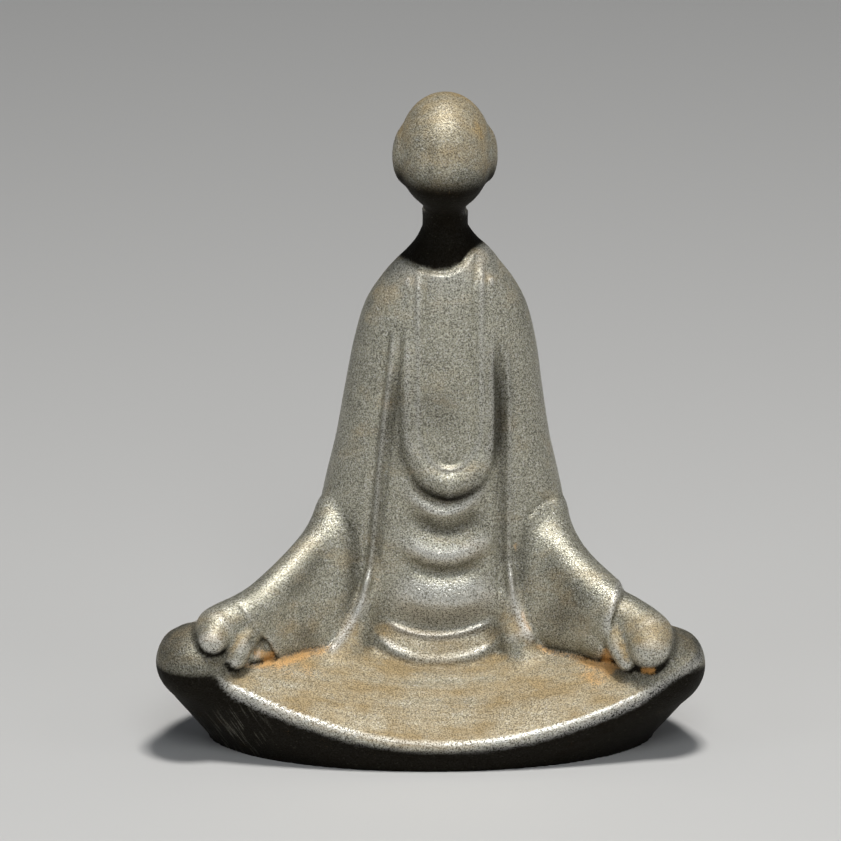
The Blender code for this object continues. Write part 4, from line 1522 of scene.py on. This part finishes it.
def triangles(mesh: bpy.types.Mesh) -> int:
    """Return how many triangles a mesh has."""
    return sum(len(face.vertices) - 2 for face in mesh.polygons)


Value = Union["Signal", float, Sequence[float]]

# A Mix node has sockets of one name for each kind of data, so those of its colours are
# told by their places.
MIX_SHARE, MIX_ONE, MIX_OTHER, MIX_RESULT = 0, 6, 7, 2


@dataclass(frozen=True)
class Signal:
    """A socket of a material, on which arithmetic adds the nodes it needs."""

    bench: "Bench"
    socket: bpy.types.NodeSocket

    def __add__(self, other: Value) -> "Signal":
        """Add."""
        return self.bench.sum("ADD", self, other)

    def __radd__(self, other: Value) -> "Signal":
        """Add to a number."""
        return self.bench.sum("ADD", other, self)

    def __sub__(self, other: Value) -> "Signal":
        """Subtract."""
        return self.bench.sum("SUBTRACT", self, other)

    def __rsub__(self, other: Value) -> "Signal":
        """Subtract from a number."""
        return self.bench.sum("SUBTRACT", other, self)

    def __mul__(self, other: Value) -> "Signal":
        """Multiply."""
        return self.bench.sum("MULTIPLY", self, other)

    def __rmul__(self, other: Value) -> "Signal":
        """Multiply a number."""
        return self.bench.sum("MULTIPLY", other, self)

    def held(self) -> "Signal":
        """Keep the value between 0 and 1."""
        return self.bench.sum("ADD", self, 0.0, clamp=True)

    def rising(self, low: float, high: float) -> "Signal":
        """Rise from 0 at low to 1 at high without a corner."""
        sockets = {"Value": self, "From Min": low, "From Max": high}
        return self.bench.node("ShaderNodeMapRange", sockets, interpolation_type="SMOOTHSTEP")


@dataclass(frozen=True)
class Bench:
    """The place where a material's nodes are put together."""

    tree: bpy.types.NodeTree
    noise_roughness: float = 0.6

    def node(self, kind: str, sockets: Dict, output: Union[int, str] = 0, **settings) -> Signal:
        """Add one node.

        Args:
            kind: The node's type.
            sockets: The value or the link of each input, by its name or place.
            output: The output to use, by its name or place.
            **settings: The node's own settings, which are set first.

        Returns:
            The chosen output.
        """
        node = self.tree.nodes.new(kind)
        for name, value in settings.items():
            setattr(node, name, value)
        for name, value in sockets.items():
            self.feed(node.inputs[name], value)
        return Signal(self, node.outputs[output])

    def feed(self, socket: bpy.types.NodeSocket, value: Value) -> None:
        """Link a socket, or set it where the value is a number or a colour.

        Args:
            socket: The input to feed.
            value: What to feed it.
        """
        if isinstance(value, Signal):
            self.tree.links.new(value.socket, socket)
        elif socket.type == "RGBA" and len(value) == 3:
            socket.default_value = (*value, 1.0)
        else:
            socket.default_value = value

    def sum(self, operation: str, one: Value, other: Value, clamp: bool = False) -> Signal:
        """Add a Math node."""
        return self.node("ShaderNodeMath", {0: one, 1: other}, operation=operation, use_clamp=clamp)

    def blend(self, share: Value, one: Value, other: Value) -> Signal:
        """Mix two colours by a share."""
        sockets = {MIX_SHARE: share, MIX_ONE: one, MIX_OTHER: other}
        return self.node("ShaderNodeMix", sockets, MIX_RESULT, data_type="RGBA")

    def noted(self, note: Note) -> Signal:
        """Read a value that the piece's vertices carry."""
        return self.node("ShaderNodeAttribute", {}, "Fac", attribute_name=note.value)

    def places(self, scale: Spot = (1.0, 1.0, 1.0), turn: Spot = (0.0, 0.0, 0.0)) -> Signal:
        """Read the object's own coordinates, turned and then stretched along each axis.

        Args:
            scale: The stretch along each axis.
            turn: The turn about each axis.

        Returns:
            The coordinates.
        """
        plain = self.node("ShaderNodeTexCoord", {}, "Object")
        sockets = {"Vector": plain, "Rotation": turn, "Scale": scale}
        return self.node("ShaderNodeMapping", sockets, vector_type="TEXTURE")

    def noise(self, size: float, detail: float = 2.0, where: Optional[Signal] = None) -> Signal:
        """Make soft noise.

        Args:
            size: The size of a blot, in metres.
            detail: How many finer layers it has.
            where: The coordinates, or the object's own.

        Returns:
            Values around a half.
        """
        where = where or self.places()
        sockets = {"Vector": where, "Scale": 1 / size, "Detail": detail,
                   "Roughness": self.noise_roughness}
        return self.node("ShaderNodeTexNoise", sockets, "Fac")


def new_material(name: str) -> Tuple[bpy.types.Material, Bench, bpy.types.Node]:
    """Return an empty material, its bench and its surface shader.

    Args:
        name: The material's name.

    Returns:
        The material, its bench and its shader.
    """
    material = bpy.data.materials.new(name)
    material.use_nodes = True
    return material, Bench(material.node_tree), material.node_tree.nodes["Principled BSDF"]


@dataclass(frozen=True)
class Covers:
    """The patterns of a finish: where each of its covers lies, from 0 to 1."""

    fine: Signal
    drift: Signal
    dusty: Signal
    # The painted shade.
    shaded: Signal
    rusty: Signal
    # Painted highlights with wear.
    polish_and_sheen: Signal
    pits: Signal


@dataclass(frozen=True)
class CastIron:
    """Speckled cast iron with ochre dust on what faces up and rust in the creases, with
    painted shade and whitish painted highlights in its colour.

    Sizes are in metres. A span says where a noise starts to show and where it is whole.
    """

    dark: Colour = (0.115, 0.108, 0.080)
    light: Colour = (0.640, 0.620, 0.500)
    dust_dark: Colour = (0.150, 0.108, 0.052)
    dust_light: Colour = (0.490, 0.372, 0.195)
    rust: Colour = (0.720, 0.410, 0.145)
    # The near-black of the painted shade.
    shade: Colour = (0.008, 0.006, 0.004)
    # A whitish colour for painted highlights, glints and wear.
    wear_and_sheen: Colour = (0.900, 0.890, 0.850)
    grain: float = 0.00022
    grain_detail: float = 2.0
    grain_contrast: float = 3.0
    blotch: float = 0.0045
    blotch_detail: float = 3.0
    blotch_tone: float = 0.5
    stroke: float = 0.0030
    stroke_detail: float = 3.0
    stroke_stretch: Spot = (5.0, 1.0, 1.0)
    scratch: float = 0.00032
    scratch_detail: float = 1.0
    scratch_stretch: Spot = (1.0, 18.0, 18.0)
    scratch_turn: Spot = (0.0, -0.5, 0.0)
    scratch_span: Span = (0.54, 0.66)
    scratch_share: float = 0.3
    glint: float = 0.000286
    glint_detail: float = 1.0
    glint_span: Span = (0.54, 0.70)
    glint_share: float = 0.5
    pit: float = 0.000528
    pit_detail: float = 1.5
    pit_span: Span = (0.62, 0.76)
    pit_share: float = 0.3
    pit_depth: float = 1.5
    dust_gain: float = 0.85
    dust_lost: float = 0.08
    dust_strokes: float = 1.7
    dust_drift: float = 1.3
    # Painted shade is laid in the creases, and where the skin's vertices carry it.
    crease_shade: float = 0.12
    shade_share: float = 0.97
    rust_gain: float = 1.1
    rust_lost: float = 0.2
    rust_drift: float = 1.6
    rust_speckle: float = 0.5
    rust_span: Span = (0.15, 1.0)
    rust_share: float = 0.8
    # The polish paints crests, raised lines and the rim whitish: painted highlights with wear.
    polish_span: Span = (0.36, 0.56)
    polish_share: float = 0.7
    roughness: float = 0.39
    dust_roughness: float = 0.2
    shade_roughness: float = 0.35
    polish_smoothness: float = 0.16
    metallic: float = 0.6
    dust_dullness: float = 0.8
    specular: float = 0.4
    bump: float = 0.00005
    bump_strength: float = 0.6

    def covers(self, bench: Bench) -> Covers:
        """Work out where each cover lies.

        Args:
            bench: The bench of the material.

        Returns:
            The covers.
        """
        speckle = bench.noise(self.grain, self.grain_detail)
        fine = ((speckle - 0.5) * self.grain_contrast + 0.5).held()
        drift = bench.noise(self.blotch, self.blotch_detail) - 0.5
        strokes = bench.noise(self.stroke, self.stroke_detail, bench.places(self.stroke_stretch)) - 0.5
        along = bench.places(self.scratch_stretch, self.scratch_turn)
        scratches = bench.noise(self.scratch, self.scratch_detail, along).rising(*self.scratch_span)
        dust = bench.noted(Note.DUST) * self.dust_gain - self.dust_lost
        # The painted shade, noted on the vertices and in the creases.
        shade = bench.noted(Note.GRIME) + bench.noted(Note.CREASE) * self.crease_shade
        rust = bench.noted(Note.RUST) * self.rust_gain - self.rust_lost
        return Covers(
            fine=fine,
            drift=drift,
            dusty=(dust + strokes * self.dust_strokes + drift * self.dust_drift).held(),
            shaded=(shade - bench.noted(Note.BRUSHED) * scratches * self.scratch_share).held(),
            rusty=(rust + drift * self.rust_drift + (fine - 0.5) * self.rust_speckle).rising(*self.rust_span),
            polish_and_sheen=bench.noted(Note.EDGE) * speckle.rising(*self.polish_span),
            pits=bench.noise(self.pit, self.pit_detail).rising(*self.pit_span),
        )

    def colour(self, bench: Bench, covers: Covers) -> Signal:
        """Lay the colours over each other.

        Args:
            bench: The bench of the material.
            covers: Where each cover lies.

        Returns:
            The colour.
        """
        tone = (covers.fine + covers.drift * self.blotch_tone).held()
        # Glints are painted highlights, whitish specks in the iron.
        glints = bench.noise(self.glint, self.glint_detail).rising(*self.glint_span)
        iron = bench.blend(glints * self.glint_share, bench.blend(tone, self.dark, self.light), self.wear_and_sheen)
        dust = bench.blend(covers.fine, self.dust_dark, self.dust_light)
        colour = bench.blend(covers.dusty, iron, dust)
        # Painted shade darkens the colour toward near-black.
        colour = bench.blend(covers.shaded * self.shade_share, colour, self.shade)
        colour = bench.blend(covers.rusty * self.rust_share, colour, self.rust)
        # Painted highlights and wear lighten crests, raised lines and the rim.
        colour = bench.blend(covers.polish_and_sheen * self.polish_share, colour, self.wear_and_sheen)
        return bench.blend(covers.pits * self.pit_share, colour, self.dark)

    def material(self) -> bpy.types.Material:
        """Build the finish.

        Returns:
            The material.
        """
        material, bench, shader = new_material("speckled_cast_iron")
        covers = self.covers(bench)
        rough = self.roughness + covers.dusty * self.dust_roughness + covers.shaded * self.shade_roughness
        rough = rough - covers.polish_and_sheen * self.polish_smoothness
        metal = (1 - covers.dusty * self.dust_dullness) * (1 - covers.rusty) * self.metallic
        height = covers.fine - covers.pits * self.pit_depth
        bump = {"Height": height, "Strength": self.bump_strength, "Distance": self.bump}
        bench.feed(shader.inputs["Base Color"], self.colour(bench, covers))
        bench.feed(shader.inputs["Roughness"], rough.held())
        bench.feed(shader.inputs["Specular IOR Level"], self.specular)
        # The painted shade also raises the metallic share.
        bench.feed(shader.inputs["Metallic"], (metal + covers.shaded).held())
        bench.feed(shader.inputs["Normal"], bench.node("ShaderNodeBump", bump))
        return material


@dataclass(frozen=True)
class PaleFloor:
    """A plain pale floor."""

    half_width: float = 6.0
    colour: Colour = (0.56, 0.56, 0.555)
    roughness: float = 0.75

    def build(self) -> bpy.types.Object:
        """Lay the floor, a plain sheet at the height of the foot.

        Returns:
            The floor.
        """
        mesh = bmesh.new()
        bmesh.ops.create_grid(mesh, x_segments=1, y_segments=1, size=self.half_width)
        data = bpy.data.meshes.new("floor")
        mesh.to_mesh(data)
        mesh.free()
        material, bench, shader = new_material("pale_floor")
        bench.feed(shader.inputs["Base Color"], self.colour)
        bench.feed(shader.inputs["Roughness"], self.roughness)
        data.materials.append(material)
        floor = bpy.data.objects.new("floor", data)
        bpy.context.scene.collection.objects.link(floor)
        return floor


def direction(azimuth: float, elevation: float) -> Vector:
    """Return the direction from the figure to a place round it, in degrees."""
    turn, rise = math.radians(azimuth), math.radians(elevation)
    return Vector((math.sin(turn) * math.cos(rise), -math.cos(turn) * math.cos(rise), math.sin(rise)))


@dataclass(frozen=True)
class Softbox:
    """A square lamp that looks at the figure."""

    name: str
    azimuth: float
    elevation: float
    distance: float
    size: float
    power: float
    colour: Colour

    def build(self, target: Vector) -> None:
        """Hang the lamp.

        Args:
            target: The point it looks at.
        """
        lamp = bpy.data.lights.new(self.name, "AREA")
        lamp.size = self.size
        lamp.energy = self.power
        lamp.color = self.colour
        holder = bpy.data.objects.new(self.name, lamp)
        away = direction(self.azimuth, self.elevation)
        holder.location = target + away * self.distance
        holder.rotation_euler = (-away).to_track_quat("-Z", "Y").to_euler()
        bpy.context.scene.collection.objects.link(holder)


@dataclass(frozen=True)
class Studio:
    """The camera, the lamps and the sky. The camera's lengths are shares of the figure's height."""

    height: float
    target: Spot = (-0.0152, 0.0, 0.4899)
    elevation: float = 18.0
    distance: float = 16.23
    view_width: float = 1.258
    sensor: float = 36.0
    clip: Span = (0.01, 30.0)
    sky: Colour = (0.80, 0.86, 0.95)
    sky_strength: float = 0.07
    lamps: Tuple[Softbox, ...] = (
        Softbox("overhead", 14.0, 72.0, 0.75, 0.13, 5.2, (1.0, 0.98, 0.95)),
        Softbox("front", 6.0, 42.0, 1.1, 0.4, 3.0, (0.95, 0.98, 1.0)),
        Softbox("left", -55.0, 30.0, 1.2, 0.5, 1.0, (0.95, 0.98, 1.0)),
        Softbox("right", 60.0, 30.0, 1.2, 0.5, 1.0, (1.0, 0.98, 0.95)),
    )

    def build(self) -> None:
        """Set up the camera, the lamps and the sky."""
        target = Vector(self.target) * self.height
        lens = bpy.data.cameras.new("camera")
        lens.sensor_width = self.sensor
        lens.lens = self.sensor * self.distance / self.view_width
        lens.clip_start, lens.clip_end = self.clip
        camera = bpy.data.objects.new("camera", lens)
        away = direction(0.0, self.elevation)
        camera.location = target + away * self.distance * self.height
        camera.rotation_euler = (-away).to_track_quat("-Z", "Y").to_euler()
        bpy.context.scene.collection.objects.link(camera)
        bpy.context.scene.camera = camera
        for lamp in self.lamps:
            lamp.build(target)
        world = bpy.data.worlds.new("sky")
        world.use_nodes = True
        bench = Bench(world.node_tree)
        inputs = world.node_tree.nodes["Background"].inputs
        bench.feed(inputs["Color"], self.sky)
        bench.feed(inputs["Strength"], self.sky_strength)
        bpy.context.scene.world = world
        bpy.context.scene.view_settings.view_transform = "Standard"


def main() -> None:
    """Build the figure and its surroundings."""
    logging.basicConfig(level=logging.INFO, format="%(message)s", force=True)
    piece = Skin(Figure(), PatinaAndPaintedLight()).build()
    piece.data.materials.clear()
    piece.data.materials.append(CastIron().material())
    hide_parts(NODE)
    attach(piece, BODY)
    log.info("built %s", piece.name)
    log.info("laid %s", PaleFloor().build().name)
    Studio(cad_box[1].z).build()


if __name__ == "__main__":
    main()
